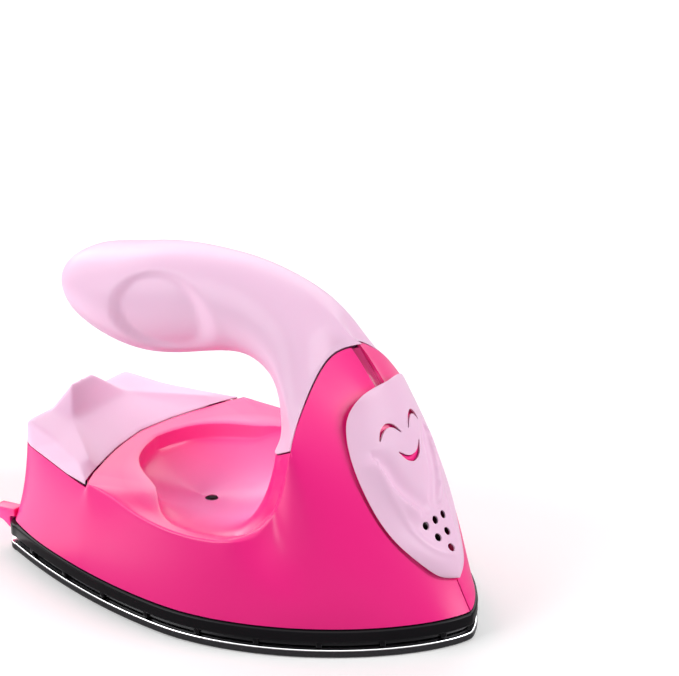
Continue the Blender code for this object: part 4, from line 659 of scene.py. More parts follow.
def moulded_plastic(name, rgb, roughness, cloud, peel, gloss=0.5, glow=0.0, tints=None):
    """Moulded plastic: faint clouds of tint a few centimetres wide, gloss that wanders a little,
    and the fine waviness that the mould leaves."""
    n = Nodes(name, rgb)
    base = n.shades(n.noise(38.0, 1.0), 0.35, 0.65, 1 - cloud, 1 + cloud)
    # tints, where given, paint light and shade into the base colour
    n.link(tints(n, base) if tints else base, "Base Color")
    n.roughen(n.noise(210.0, 1.0), roughness - 0.008, roughness + 0.008)
    n.bump(n.noise(900.0, 2.0), peel, 0.00012)
    n.set(Specular_IOR_Level=gloss)
    if glow:
        n.set(Subsurface_Weight=glow, Subsurface_Radius=(1.0, 0.45, 0.6), Subsurface_Scale=0.0018)
    return n.material


def coated_metal(name, rgb, bare, low, high):
    """Black non-stick coating with fine flecks, left bare along a thin band between two heights, where
    the rim was machined. That bright band also stands in for the rim's highlight line: partly a painted
    highlight."""
    n = Nodes(name, rgb)
    blur = sizes().gap / 8
    coat = n.shades(n.noise(2600.0, 2.0, 0.7), 0.60, 0.70, 1.0, 2.6)
    height = n.add("ShaderNodeSeparateXYZ", {"Vector": n.place}).outputs["Z"]
    band = n.times(n.between(height, low - blur, low + blur, 0.0, 1.0),
                   n.between(height, high - blur, high + blur, 1.0, 0.0))
    # The bare band is partly a painted highlight along the rim's upper edge
    n.link(n.mix(band, coat, (*bare, 1.0)), "Base Color")
    n.link(band, "Metallic")
    n.link(n.between(band, 0.0, 1.0, 0.24, 0.16), "Roughness")
    n.bump(n.noise(1500.0, 3.0), 0.12)
    return n.material


def worked_metal(name, rgb, roughness, along, grain):
    """Metal with brushing lines: noise drawn out along one axis sets its gloss and bump."""
    n = Nodes(name, rgb)
    drawn = n.add("ShaderNodeMapping", {"Vector": n.place}, Scale=along).outputs["Vector"]
    streak = n.noise(grain, 4.0, 0.6, drawn)
    n.link(n.shades(streak, 0.3, 0.7, 0.88, 1.05), "Base Color")
    n.roughen(streak, roughness - 0.06, roughness + 0.10)
    n.bump(streak, 0.12, 0.00005)
    n.set(Metallic=1.0)
    return n.material


def layered_sheet(name, rgb):
    """Pressed mica: pale flakes of several sizes in a warm ground."""
    n = Nodes(name, rgb)
    cell = n.add("ShaderNodeTexVoronoi", {"Vector": n.place}, Scale=700.0).outputs["Distance"]
    n.link(n.shades(cell, 0.0, 1.0, 1.25, 0.72), "Base Color")
    n.roughen(n.noise(600.0), 0.35, 0.65)
    n.bump(cell, 0.2)
    return n.material


def fired_ceramic(name, rgb):
    """Glazed ceramic: speckles under a thin uneven glaze."""
    n = Nodes(name, rgb)
    n.link(n.shades(n.noise(1700.0, 2.0), 0.58, 0.70, 1.0, 0.6), "Base Color")
    n.roughen(n.noise(300.0), 0.30, 0.55)
    n.bump(n.noise(800.0), 0.15)
    return n.material


def soft_rubber(name, rgb, grain=1600.0):
    """Rubber or sleeving: a dull skin with fine pits and paler dusty patches."""
    n = Nodes(name, rgb)
    n.link(n.shades(n.noise(160.0, 4.0), 0.40, 0.75, 1.0, 1.6), "Base Color")
    n.roughen(n.noise(500.0), 0.55, 0.80)
    n.bump(n.noise(grain, 3.0), 0.25)
    return n.material


def clear_lens(name, rgb):
    """Clear tinted plastic with a faint swirl in its gloss."""
    n = Nodes(name, rgb)
    swirl = n.noise(420.0, 2.0)
    n.link(n.shades(swirl, 0.0, 1.0, 0.85, 1.15), "Base Color")
    n.roughen(swirl, 0.06, 0.14)
    n.set(Transmission_Weight=0.30, IOR=1.49)
    return n.material


def finish(name):
    """The material of a slot, made the first time that it is asked for."""
    found = bpy.data.materials.get("iron_" + name)
    if found:
        return found
    c = colours()
    make = {
        # The body's material carries painted light: a paler painted sheen in the bowl and painted shade in
        # the hood's groove
        "hot_pink": lambda k: moulded_plastic(k, tuple(c.hot_pink), 0.29, 0.006, 0.004, 0.45,
                                              tints=body_painted_sheen_and_shade),
        "pale_pink": lambda k: moulded_plastic(k, tuple(c.pale_pink), 0.32, 0.005, 0.005, 0.22, 0.10),
        "skirt_black": lambda k: moulded_plastic(k, tuple(c.skirt_black), 0.24, 0.10, 0.03, 0.10),
        # The bare band between these heights is partly a painted highlight line along the soleplate's rim
        "sole_black": lambda k: coated_metal(k, tuple(c.sole_black), tuple(c.bare_rim_and_highlight),
                                             sizes().sole_thickness * 0.86, sizes().sole_thickness * 1.02),
        "inner_plastic": lambda k: moulded_plastic(k, (0.10, 0.10, 0.11), 0.50, 0.12, 0.10),
        "steel": lambda k: worked_metal(k, (0.55, 0.55, 0.57), 0.30, (1.0, 1.0, 0.1), 2200.0),
        "aluminium": lambda k: worked_metal(k, (0.75, 0.76, 0.78), 0.34, (0.06, 1.0, 1.0), 1800.0),
        "brass": lambda k: worked_metal(k, (0.72, 0.52, 0.22), 0.28, (1.0, 0.1, 1.0), 2000.0),
        "mica": lambda k: layered_sheet(k, (0.62, 0.52, 0.38)),
        "ceramic": lambda k: fired_ceramic(k, (0.82, 0.80, 0.76)),
        "rubber": lambda k: soft_rubber(k, (0.03, 0.03, 0.03)),
        "clear_red": lambda k: clear_lens(k, (0.75, 0.04, 0.20)),
        "wire_red": lambda k: soft_rubber(k, (0.55, 0.04, 0.04), 2400.0),
        "wire_blue": lambda k: soft_rubber(k, (0.04, 0.10, 0.45), 2400.0),
    }[name]
    return make("iron_" + name)


# Body


def wall_columns():
    """The wall's columns from the heel's middle to the nose: through its foot, two swells and top
    edge goes the one cubic that meets all four, with more rows where the wall turns."""
    s, steps = sizes(), STEPS
    feet = [(x * s.sole_length, y * s.sole_half_width) for x, y in REAR_FOOT]
    side = np.array(SIDE_FOOT + NOSE_FOOT) * s.sole_length
    feet = inset_points(np.vstack([feet, np.column_stack([side, half_width(side)])]), s.body_inset)
    foot = np.column_stack([feet, np.full(len(feet), s.body_bottom)])
    foot[-1, 1] = 0.0
    edge = spot(EDGE)
    low, high = foot + (edge - foot) / 3, foot + (edge - foot) * 2 / 3
    swell = np.array((0.0, 1.0, 0.0)) * s.flank_bulge
    low[5:], high[5:] = low[5:] + swell, high[5:] + swell
    first = len(edge) - len(HOOD_LOW)
    low[first:], high[first:] = spot(HOOD_LOW), spot(HOOD_HIGH)
    held = (TOP_STARTS_AT_EDGE * steps - steps, TOP_STARTS_AT_EDGE * steps)
    net = [through(row, steps, True, True) for row in (foot, low, high, edge)]
    net = np.array([eased(net[0], steps)] + [eased(row, 10 * steps) for row in net[1:3]]
                   + [eased(net[3], 2 * steps, held)])
    t = np.linspace(0, 1, 29)
    basis = np.stack([
        -4.5 * (t - 1 / 3) * (t - 2 / 3) * (t - 1), 13.5 * t * (t - 2 / 3) * (t - 1),
        -13.5 * t * (t - 1 / 3) * (t - 1), 4.5 * t * (t - 1 / 3) * (t - 2 / 3),
    ], axis=1)
    return np.einsum("rk,kcx->rcx", basis, net)


def hood_groove(grid):
    """Sinks the strip between the hood's tip and the nose plate, with a bank along each side."""
    s = sizes()
    tip, brow, bank = spot(EDGE[-1]), spot(PLATE_EDGE[0]), s.groove_bank
    way = (brow - tip) / np.linalg.norm(brow - tip)
    up = np.array((-way[2], 0.0, way[0]))
    across = np.clip((s.hood_groove_width / 2 + bank / 2 - np.abs(grid[..., 1])) / bank, 0, 1)
    above = np.clip((grid[..., 2] - brow[2] + s.groove_tuck) / (s.groove_tuck / 4), 0, 1)
    return grid - up * (s.hood_groove_depth * across * above)[..., None]


def back_along(lines, distance):
    """Cuts each column off at a distance before its last point: the rows are drawn together
    towards the first, and the last row lands at that distance along the column."""
    steps = np.linalg.norm(np.diff(lines, axis=0), axis=2)
    total = np.concatenate([np.zeros((1, lines.shape[1])), np.cumsum(steps, axis=0)])
    share = 1 - np.asarray(distance) / np.maximum(total[-1], 1e-9)
    made = np.empty_like(lines)
    for column in range(lines.shape[1]):
        where = total[:, column] * share[column]
        for axis in range(3):
            made[:, column, axis] = np.interp(where, total[:, column], lines[:, column, axis])
    return made


def relaxed_bowl(rows, first, leaves, passes=140):
    """Lets the bowl's floor relax: over and over, each point moves towards the mean of its four
    neighbours. Past the centre line the neighbour is the point's own mirror image. The rim's wall
    above row first stays, and so does the seam from column leaves on."""
    flip = np.array((1.0, -1.0, 1.0))
    for _ in range(passes):
        part = rows[first - 1 :]
        up = part[:-1]
        down = np.concatenate([part[1:], part[-2:-1] * flip])
        left = np.concatenate([part[:, 1:2] * flip, part[:, :-1]], axis=1)
        right = np.concatenate([part[:, 1:], part[:, -1:]], axis=1)
        mean = (up + down[1:] + left[1:] + right[1:]) / 4
        mean[:, -1] = part[1:, -1]
        mean[-1, leaves:] = part[-1, leaves:]
        mean[-1, :leaves, 1] = 0.0
        mean[:, 0, 1] = 0.0
        mean[0] = part[1]
        rows = np.concatenate([rows[:first], part[1:] * 0.5 + mean * 0.5])
    return rows


def body_grids():
    """The wall, the top and the deck's ledge. The top's rows run from the rounded edge over the
    land and the bowl's rim, down its upright wall, and by a cubic curve to the centre line."""
    s, steps = sizes(), STEPS
    side = wall_columns()
    edge = side[-1]
    columns = (len(RIM) - 1) * steps + 1
    attached = len(ARC) * steps
    arc = through(spot([(x, y, ARC_HEIGHT) for x, y in ARC]), steps, True)
    outer = np.empty((columns, 3))
    outer[: len(arc)] = arc
    start = TOP_STARTS_AT_EDGE * steps
    link = np.linspace(0, 1, attached - len(arc) + 2)[:, None]
    outer[len(arc) - 1 : attached + 1] = arc[-1] * (1 - link) + edge[start] * link
    outer[attached:] = edge[start : start + columns - attached]
    rim = eased(through(spot(RIM), steps, True), 2 * steps)
    fall = eased(through(spot(FALL), steps, True), 2 * steps)
    seam = through(spot(SEAM), steps, True)
    seam[: steps * SEAM_LEAVES_CENTRE + 1, 1] = 0.0
    drop = np.interp(np.arange(columns) / steps, np.arange(len(RECESS)), RECESS) * s.recess_depth
    place = np.arange(columns) / steps
    radius = s.edge_round * np.interp(place, ROUND_AT, ROUND_TIMES)
    radius = np.minimum(radius, 0.45 * np.linalg.norm(rim - outer, axis=1) + 1e-7)
    cutback = np.zeros(side.shape[1])
    cutback[start : start + columns - attached] = radius[attached:]
    side = back_along(side, cutback)
    foot_of_round = outer.copy()
    foot_of_round[attached:] = side[-1, start : start + columns - attached]
    way = rim - outer
    way = way / np.maximum(np.linalg.norm(way, axis=1), 1e-9)[:, None]
    head = outer + way * radius[:, None]
    rows = [(1 - t) ** 2 * foot_of_round + 2 * t * (1 - t) * outer + t**2 * head
            for t in np.linspace(0, 1, ROUND_ROWS)]
    lip = rim - way * np.minimum(s.lip_width, 0.3 * np.linalg.norm(rim - outer, axis=1))[:, None]
    rows += [head + (lip - head) * t for t in np.linspace(0, 1, LAND_ROWS)[1:]]
    step = rim + (fall - rim) * UPRIGHT_SHARE
    for t in np.linspace(0, 1, UPRIGHT_ROWS)[1:]:
        down = t - math.sin(2 * math.pi * t) / (2 * math.pi)
        sunk = drop * (DROP_EASED * down + (1 - DROP_EASED) * t)
        rows.append(rim * (1 - t) + step * t - np.array((0, 0, 1)) * sunk[:, None])
    start_row = rows[-1]
    flat = seam + (fall - seam) * INNER_SHARE
    centre = np.clip((SEAM_LEAVES_CENTRE - 1.0 - place) / 2.0, 0, 1)[:, None]
    level = np.column_stack([seam[:, 0], LEVEL_SHARE * fall[:, 1], seam[:, 2]])
    inner = flat * (1 - centre) + level * centre
    pull = start_row + (fall - start_row) * OUTER_SHARE
    for t in np.linspace(0, 1, FLOOR_ROWS)[1:]:
        rows.append((1 - t) ** 3 * start_row + 3 * t * (1 - t) ** 2 * pull + 3 * t**2 * (1 - t) * inner
                    + t**3 * seam)
    rows = relaxed_bowl(np.array(rows), len(rows) - FLOOR_ROWS + 1, SEAM_LEAVES_CENTRE * steps)
    depth = np.interp(place, np.arange(len(REBATE_DEPTH)), REBATE_DEPTH)[: attached + 1]
    down = outer[: attached + 1] - np.array((0, 0, 1)) * (depth * (s.deck_wall + s.rebate_room))[:, None]
    back = down - np.array((1, 0, 0)) * (depth * s.rebate_width)[:, None]
    up = outer[: attached + 1]
    return hood_groove(side), rows, np.array([back, (back + down) / 2, down, (down + up) / 2, up])


def seam_line():
    """The seam from the handle's rear foot round to the hood's tip."""
    seam = through(spot(SEAM), STEPS, True)
    seam[: STEPS * SEAM_LEAVES_CENTRE + 1, 1] = 0.0
    return np.vstack([seam[STEPS * SEAM_LEAVES_CENTRE :], wall_columns()[-1][CORNER_EDGE * STEPS + 1 :]])


def plate_middle(z):
    """How far forward the plate's middle line stands at height z."""
    s = sizes()
    line = np.array(PLATE_MIDDLE)
    heights = s.body_bottom + line[:, 0] * (s.hood_height - s.body_bottom)
    dense = np.linspace(heights[0], heights[-1], 121)
    depth = np.interp(dense, heights, line[:, 1] * s.sole_length)
    depth = eased(depth[:, None], 60)[:, 0]
    return np.interp(z, dense, depth)


def plate_grid(grow, share, rows_between, across):
    """Rows across the plate from top to bottom, each a shallow arc x + (middle - x)(1 - u^2) that
    bulges forwards. grow widens the outline and share draws it together."""
    edge = eased(through(spot(PLATE_EDGE), rows_between), 2 * rows_between)
    edge[0, 1] = edge[-1, 1] = 0.0
    middle_z, tall = (edge[0, 2] + edge[-1, 2]) / 2, (edge[0, 2] - edge[-1, 2]) / 2
    u = np.sin(np.linspace(-1, 1, across) * math.pi / 2)[None]
    x, y, z = (edge[:, k, None] for k in range(3))
    y = np.where(y > 0, y + grow, grow) * share if grow or share < 1 else y
    height = middle_z + (z - middle_z) * (1 + grow / tall) * share
    side = plate_middle(height) - (plate_middle(z) - x) * share**2 if share < 1 else x
    front = plate_middle(height)
    return np.stack(np.broadcast_arrays(side + (front - side) * (1 - u * u), u * y, height), axis=-1)


def plate_block(name, grow, ahead, behind, share=1.0, first=0):
    """The plate's outline as a closed body, from ahead of its surface to behind it. It starts at
    row first, counted from the plate's top."""
    grid = plate_grid(grow, share, 5, 25)[first:]
    front, rear = grid + PLATE_LEAN * ahead, grid - PLATE_LEAN * behind
    top = np.array([front[0], rear[0]])
    bottom = np.array([front[-1], rear[-1]])
    left = np.stack([front[:, 0], rear[:, 0]])
    right = np.stack([front[:, -1], rear[:, -1]])
    return mesh_piece(name, [front, rear, top, bottom, left, right], finish("hot_pink"))


def slab(name, outline, low, high):
    """An outline in x and z carried across from low to high y."""
    ring = np.array(outline, float)
    rows = np.array([np.column_stack([ring[:, 0], np.full(len(ring), y), ring[:, 1]]) for y in (low, high)])
    count = len(ring)
    caps = [range(count - 1, -1, -1), range(count, 2 * count)]
    return mesh_piece(name, [rows], finish("hot_pink"), wraps=(False, True), caps=caps)


def heel_foot(side):
    """A small block behind the wall that the iron stands on, with a web below it."""
    s = sizes()
    top = s.body_bottom + s.foot_height / 2
    root = s.body_inset + s.body_wall / 2
    low, high = (side * s.foot_offset + end * s.foot_width / 2 for end in (-1, 1))
    outline = [
        (root, top + s.foot_height / 4), (-s.foot_reach, top), (-s.foot_reach, top - s.foot_height),
        (-s.foot_reach / 2, top - s.foot_height - s.gap), (-s.gap, s.body_bottom - s.foot_web),
        (-s.gap, s.body_bottom), (root, s.body_bottom),
    ]
    foot = slab("heel_foot_left_pad" if side > 0 else "heel_foot_right_pad", outline, low, high)
    finish_piece(foot, "hot_pink", soft=(s.foot_soft, 25.0, 3))


class CRAFTIRON_OT_body(bpy.types.Operator):
    """Moulds the hot-pink body with its bowl, hood, plate seat and heel feet"""

    bl_idname = "craft_iron.body"
    bl_label = "Body"

    def execute(self, context):
        s = sizes()
        side, top, ledge = body_grids()
        body = mesh_piece("body_shell", [side, top, ledge], finish("hot_pink"), mirror=True, merge=4e-6,
                          outwards=(s.widest_at, s.sole_half_width * 2, s.body_bottom * 2))
        wall(body, s.body_wall)
        apply_modifiers(body)
        lamp, low = spot(LAMP), spot(PLATE_EDGE[-1])
        toe = np.array((s.sole_length, 0.0, s.body_bottom))
        down = (toe - low) / np.linalg.norm(toe - low)
        out = np.array((-down[2], 0.0, down[0]))
        past = down * OVERRUN / 2
        line = [low - past - out * s.line_depth_high, toe + past - out * s.line_depth_low,
                toe + past + out * OVERRUN, low - past + out * OVERRUN]
        cut_away(body, [
            plate_block("plate_seat", s.gap, OVERRUN, s.plate_wall),
            plate_block("vent_window", 0.0, OVERRUN, OVERRUN, WINDOW_SHARE, WINDOW_FIRST_ROW),
            bore("lamp_bore", lamp, (0, 0, 1), s.lamp_hole),
            bore("gland_bore", (0, 0, s.body_bottom + 2 * s.gland_radius), (1, 0, 0),
                 s.gland_radius + s.gap),
            slab("nose_line", [(p[0], p[2]) for p in line], -s.gap / 2, s.gap / 2),
        ])
        finish_piece(body, "hot_pink", "body_left", "body_right", sharp=35.0,
                     soft=(s.body_soft, 50.0))
        for side in (1, -1):
            heel_foot(side)
        return {"FINISHED"}


# Handle


def resample(points, count):
    """count points evenly along a line of points."""
    steps = np.concatenate([[0], np.cumsum(np.linalg.norm(np.diff(points, axis=0), axis=1))])
    places = np.linspace(0, steps[-1], count)
    return np.stack([np.interp(places, steps, points[:, k]) for k in range(3)], axis=1)


def handle_grid():
    """Rings from the handle's rear to its seam. A ring goes from its upper point round the side to
    its lower one: half their sum plus half their difference times cos(a), and its width times
    sin(a)^0.9. Near the hood each ring blends into the seam's own outline."""
    s, count = sizes(), 61
    seam = resample(seam_line()[::-1], count)
    angle = np.linspace(0, math.pi, count)
    top = np.array([(x * s.sole_length, 0, z * s.handle_height) for x, z in HANDLE_TOP])
    low = np.array([(x * s.sole_length, 0, z * s.handle_height) for x, z in HANDLE_LOW])
    width = np.array(HANDLE_WIDTH) * s.grip_half_width
    blend = np.array(HANDLE_BLEND)
    steps = 6
    net = through(np.column_stack([top, low, width[:, None], blend[:, None]]), steps)
    net = eased(net, 2 * steps)
    top, low, width, blend = net[:, None, :3], net[:, None, 3:6], net[:, 6], net[:, 7]
    rounds = (top + low) / 2 + (top - low) / 2 * np.cos(angle)[None, :, None]
    rounds[:, :, 1] = width[:, None] * np.maximum(np.sin(angle), 0)[None] ** 0.9
    chord = seam[0] - seam[-1]
    offset = seam - seam[-1]
    flat = np.array((1.0, 0.0, 1.0))
    along = (offset * flat) @ chord / (chord @ chord)
    off = (offset - chord * along[:, None]) * flat
    rims = low + (top - low) * along[None, :, None] + off[None] * blend[:, None, None]
    rims[:, :, 1] = seam[None, :, 1] * (width / seam[:, 1].max())[:, None]
    rows = rounds * (1 - blend)[:, None, None] + rims * blend[:, None, None]
    last = seam + np.array((-s.gap, 0, s.gap))
    tail = rows[-1]
    join = np.linspace(0, 1, 13)[1:, None, None]
    rows = np.concatenate([rows, tail + (last - tail) * join])
    middle = len(rows) - 12
    rows[middle - 12 :] = eased(rows[middle - 12 :], 18)
    rows[:, [0, -1], 1] = 0.0
    along = (rows[:, :, 0] - DIMPLE[0] * s.sole_length) / s.dimple_length
    above = (rows[:, :, 2] - DIMPLE[1] * s.handle_height) / s.dimple_height
    rear, front = DIMPLE_BANK
    bank = rear + (front - rear) * np.clip(0.5 + 0.7 * along, 0, 1)
    hollow = np.clip((1 - np.hypot(along, above)) / bank, 0, 1)
    hollow = hollow * hollow * (3 - 2 * hollow)
    rows[:, :, 1] -= s.dimple_depth * hollow * (rows[:, :, 1] > s.gap)
    rows[0] = rows[0].mean(axis=0) * flat
    rows[..., 2] = np.minimum(rows[..., 2], s.handle_height - s.gap / 10)
    return rows


def screw_seat():
    return sizes().grip_half_width / 3


def handle_screw(index, x, z):
    """A pan-head screw with a cross in its head, deep in its bore."""
    s = sizes()
    seat, head = screw_seat() + s.gap, s.head_radius
    profile = rounded_profile([
        (-s.shaft_length, s.screw_radius, 0.0), (0.0, s.screw_radius, 0.0), (0.0, head, 0.0),
        (s.head_rim, head, 0.0), (s.head_height, head * 0.62, s.gap),
        (s.head_crown, head * 0.2, 0.0),
    ])
    made = turned(f"handle_screw_{index}_fine", (x, seat, z), (0, 1, 0), profile, finish("steel"), 40)
    bars = []
    for turn in (0.6, 0.6 + math.pi / 2):
        along = np.array((math.cos(turn), math.sin(turn))) * head * 0.62
        across = np.array((-math.sin(turn), math.cos(turn))) * s.cross_width / 2
        corners = [along + across, -along + across, -along - across, along - across]
        bars.append(slab(f"cross_{index}_{len(bars)}", [(x + p[0], z + p[1]) for p in corners],
                         seat + s.cross_floor, seat + OVERRUN))
    cut_away(made, bars)
    finish_piece(made, "steel", f"handle_screw_{index}", sharp=35.0)


class CRAFTIRON_OT_handle(bpy.types.Operator):
    """Moulds the pale-pink handle with its finger dimples and screw bores"""

    bl_idname = "craft_iron.handle"
    bl_label = "Handle"

    def execute(self, context):
        s = sizes()
        grip = mesh_piece("handle_grip", [handle_grid()], finish("pale_pink"), mirror=True, merge=4e-6,
                          outwards=(s.widest_at, s.sole_half_width, s.handle_height))
        wall(grip, s.handle_wall)
        apply_modifiers(grip)
        places = [(x * s.sole_length, z * s.handle_height) for x, z in HANDLE_SCREWS]
        cut_away(grip, [bore(f"screw_bore_{k}", (x, 0, z), (0, 1, 0), s.head_radius + s.gap, screw_seat(),
                             2 * s.grip_half_width) for k, (x, z) in enumerate(places)])
        finish_piece(grip, "pale_pink", "handle_left", "handle_right", sharp=40.0,
                     soft=(s.cover_soft, 50.0))
        for k, (x, z) in enumerate(places):
            handle_screw(k, x, z)
        return {"FINISHED"}


# Rear deck


class CRAFTIRON_OT_deck(bpy.types.Operator):
    """Moulds the faceted rear deck with its raised peak and crisp folds"""

    bl_idname = "craft_iron.deck"
    bl_label = "Rear deck"

    def execute(self, context):
        s = sizes()
        edge = spot(EDGE[: TOP_STARTS_AT_EDGE])
        rear = edge + np.array((0, 0, s.gap))
        rear[-1] -= np.array((2 * s.gap, 2 * s.gap, 0))
        front = spot([(x, y, DECK_FRONT_HEIGHT) for x, y in ARC]) - np.array((s.gap, 0, 0))
        corner = rear[-1].copy()
        corner[2] = front[0, 2]
        front = np.vstack([front, corner])
        peak, notch, shoulder, middle, side = spot(
            [DECK_PEAK, DECK_NOTCH, DECK_CORNER, DECK_MIDDLE, DECK_SIDE])
        fold = spot(DECK_FOLD)
        flat = np.array((1, 0, 1))
        points = np.vstack([rear, front, [peak, notch, shoulder, middle, side], fold,
                            [peak * flat, middle * flat]])
        r, f = 0, len(rear)
        u, j, k, a, b, f1, f2, crest, hollow = range(f + len(front), f + len(front) + 9)
        faces = [
            (crest, u, a, hollow), (u, j, a), (j, k, f1, a), (a, f1, f2, b),
            (hollow, a, f + 1, f), (a, f + 2, f + 1), (a, b, f + 3, f + 2), (b, f + 4, f + 3),
            (b, f2, f + 5, f + 4),
            (r, crest, u), (r, u, j), (r, j, r + 1), (r + 1, j, k), (r + 1, k, r + 2), (r + 2, k, r + 3),
            (r + 3, k, r + 4), (r + 4, k, f1), (r + 4, f1, r + 5), (r + 5, f1, f2), (r + 5, f2, r + 6),
            (r + 6, f2, f + 5), (r + 6, f + 5, r + 7),
        ]
        count = len(points)
        faces = [tuple(q) for q in faces] + [tuple(i + count for i in q[::-1]) for q in faces]
        points = np.vstack([points, points * np.array((1, -1, 1))]) + shift()
        mesh = bpy.data.meshes.new("deck_cover")
        mesh.from_pydata(points, [], faces)
        bm = bmesh.new()
        bm.from_mesh(mesh)
        bmesh.ops.remove_doubles(bm, verts=bm.verts, dist=2e-6)
        bmesh.ops.recalc_face_normals(bm, faces=bm.faces)
        top = max(bm.faces, key=lambda q: q.calc_center_median().z)
        if top.normal.z < 0:
            bmesh.ops.reverse_faces(bm, faces=bm.faces)
        bmesh.ops.subdivide_edges(bm, edges=bm.edges[:], cuts=DECK_CUTS, use_grid_fill=True)
        free = [v for v in bm.verts if not v.is_boundary]
        for _ in range(DECK_PASSES):
            bmesh.ops.smooth_vert(bm, verts=free, factor=0.5, use_axis_x=True, use_axis_y=True,
                                  use_axis_z=True)
        bm.to_mesh(mesh)
        bm.free()
        mesh.materials.append(finish("pale_pink"))
        deck = bpy.data.objects.new("deck_cover", mesh)
        bpy.context.scene.collection.objects.link(deck)
        wall(deck, s.deck_wall)
        deck.data.shade_smooth()
        finish_piece(deck, "pale_pink", "rear_deck", soft=(s.cover_soft, 50.0))
        return {"FINISHED"}


# Nose plate


def plate_face(y, z):
    """How far forward the plate's plain face stands at y and z, as in plate_grid."""
    edge = eased(through(spot(PLATE_EDGE), 5), 10)[::-1]
    side, half = (np.interp(z, edge[:, 2], edge[:, k]) for k in (0, 1))
    front = plate_middle(z)
    return side + (front - side) * (1 - np.clip(np.abs(y) / half, 0, 1) ** 2)


def bar_along(name, line, widths, ahead, behind):
    """A closed bar through the plate: a line of (y, z) points widened to each side by half its
    width, and carried forwards and backwards along the plate's lean."""
    s = sizes()
    pts = through(spot([(0, y, z) for y, z in line]), 8)[:, 1:]
    widths = np.interp(np.linspace(0, 1, len(pts)), np.linspace(0, 1, len(widths)), widths)
    way = np.gradient(pts, axis=0)
    way /= np.linalg.norm(way, axis=1)[:, None]
    side = np.stack([-way[:, 1], way[:, 0]], axis=1) * widths[:, None] / 2
    rows = []
    for sign, push in ((1, ahead), (-1, ahead), (-1, -behind), (1, -behind)):
        y, z = (pts + sign * side).T
        rows.append(np.column_stack([plate_face(y, z), y, z]) + PLATE_LEAN * push)
    rows = np.array(rows)
    count = len(pts)
    caps = [[r * count for r in (3, 2, 1, 0)], [r * count + count - 1 for r in range(4)]]
    return mesh_piece(name, [rows], finish("hot_pink"), wraps=(True, False), caps=caps)


def relief(y, z):
    """How far the plate's face stands proud: a spoon-shaped hollow under the smile with a crest
    along its lower edge, and a fine border near the plate's rim."""
    s = sizes()
    scale = np.array((s.sole_half_width, s.hood_height - s.body_bottom))
    here = np.stack([np.abs(y), z - s.body_bottom], axis=-1)
    height = here[..., 1] / scale[1]

    def distance(line):
        line = through([(q, w, 0) for q, w in line], 10)[:, :2] * scale
        d = np.linalg.norm(here[..., None, :] - line, axis=-1)
        return d.min(axis=-1), line[d.argmin(axis=-1)]

    def fade(end, upwards):
        return np.clip(upwards * (end[0] - height) / end[1], 0, 1)

    from_crest, near = distance(CREST)
    from_border, _ = distance(BORDER)
    inside = (here[..., 0] < near[..., 0]) & (here[..., 1] > near[..., 1] - s.crest_height * 1.25)
    ends = fade(CREST_TOP, 1) * fade(CREST_FOOT, -1)
    crest = s.crest_height * np.exp(-(from_crest / np.where(inside, s.crest_inner, s.crest_outer)) ** 2)
    spoon = s.spoon_depth * np.exp(-((from_crest - s.crest_outer) / s.spoon_width) ** 2) * inside
    border = s.border_height * np.exp(-(from_border / s.border_width) ** 2)
    return (crest - spoon) * ends + border * fade(BORDER_TOP, 1)


class CRAFTIRON_OT_nose_plate(bpy.types.Operator):
    """Moulds the oval nose plate with its relief, vents and the cut lines of its plain smile"""

    bl_idname = "craft_iron.nose_plate"
    bl_label = "Nose plate"

    def execute(self, context):
        s = sizes()
        grid = plate_grid(0.0, 1.0, 13, 91)
        proud = relief(grid[..., 1], grid[..., 2]) + s.plate_proud
        grid = grid + PLATE_LEAN * proud[..., None]
        plate = mesh_piece("smile_plate", [grid], finish("pale_pink"),
                           outwards=(s.sole_length * 1.2, 0, s.hood_height))
        wall(plate, s.plate_wall)
        apply_modifiers(plate)
        marks = [bore(f"vent_{k}", spot(place), PLATE_LEAN, s.vent_radius, sides=28)
                 for k, place in enumerate(VENTS)]
        wide, thin = s.line_width, s.line_width * 0.35
        marks.append(bar_along("smile_cut", SMILE, [thin, wide * 1.2, wide * 1.6, wide * 1.2, thin],
                               OVERRUN, s.mark_depth))
        for name, sign in (("eye_cut_left", 1), ("eye_cut_right", -1)):
            marks.append(bar_along(name, [(sign * y, z) for y, z in EYE],
                                   [thin, wide * 0.8, wide * 1.05, wide * 0.9, thin],
                                   OVERRUN, s.mark_depth))
        cut_away(plate, marks)
        finish_piece(plate, "pale_pink", "nose_plate", sharp=38.0, soft=(s.plate_soft, 50.0))
        inlay = bar_along("smile_inlay", SMILE, [thin * 0.8, wide, wide * 1.4, wide, thin * 0.8],
                          -s.mark_depth * 0.6, s.mark_depth * 0.97)
        finish_piece(inlay, "hot_pink")
        return {"FINISHED"}


# Skirt, soleplate and rear fittings


def groove_ribs():
    """Upright ribs across the groove, evenly along both flanks."""
    s = sizes()
    third = s.rib_width / 3
    plan = inset_points(half_outline()[HEEL_POINTS + CORNER_POINTS :], third)
    steps = np.concatenate([[0], np.cumsum(np.linalg.norm(np.diff(plan, axis=0), axis=1))])
    places = np.arange(s.rib_pitch / 2, steps[-1] - s.rib_pitch / 2, s.rib_pitch)
    at = np.stack([np.interp(places, steps, plan[:, k]) for k in range(2)], axis=1)
    ahead = np.stack([np.interp(places + third, steps, plan[:, k]) for k in range(2)], axis=1)
    along = (ahead - at) / np.linalg.norm(ahead - at, axis=1)[:, None]
    inwards = np.stack([along[:, 1], -along[:, 0]], axis=1)
    low, high = s.sole_thickness + s.gap, s.sole_thickness + s.groove_height + s.gap
    grids = []
    for q, w, d in zip(at, along * s.rib_width / 2, inwards * (s.groove_depth + third / 2)):
        ring = np.array([q + w, q + w + d, q - w + d, q - w])
        rows = [np.column_stack([ring.mean(axis=0) + (ring - ring.mean(axis=0)) * k, np.full(4, z)])
                for k, z in ((0.0, low), (1.0, low), (1.0, high), (0.0, high))]
        grids.append(np.array(rows))
    return grids


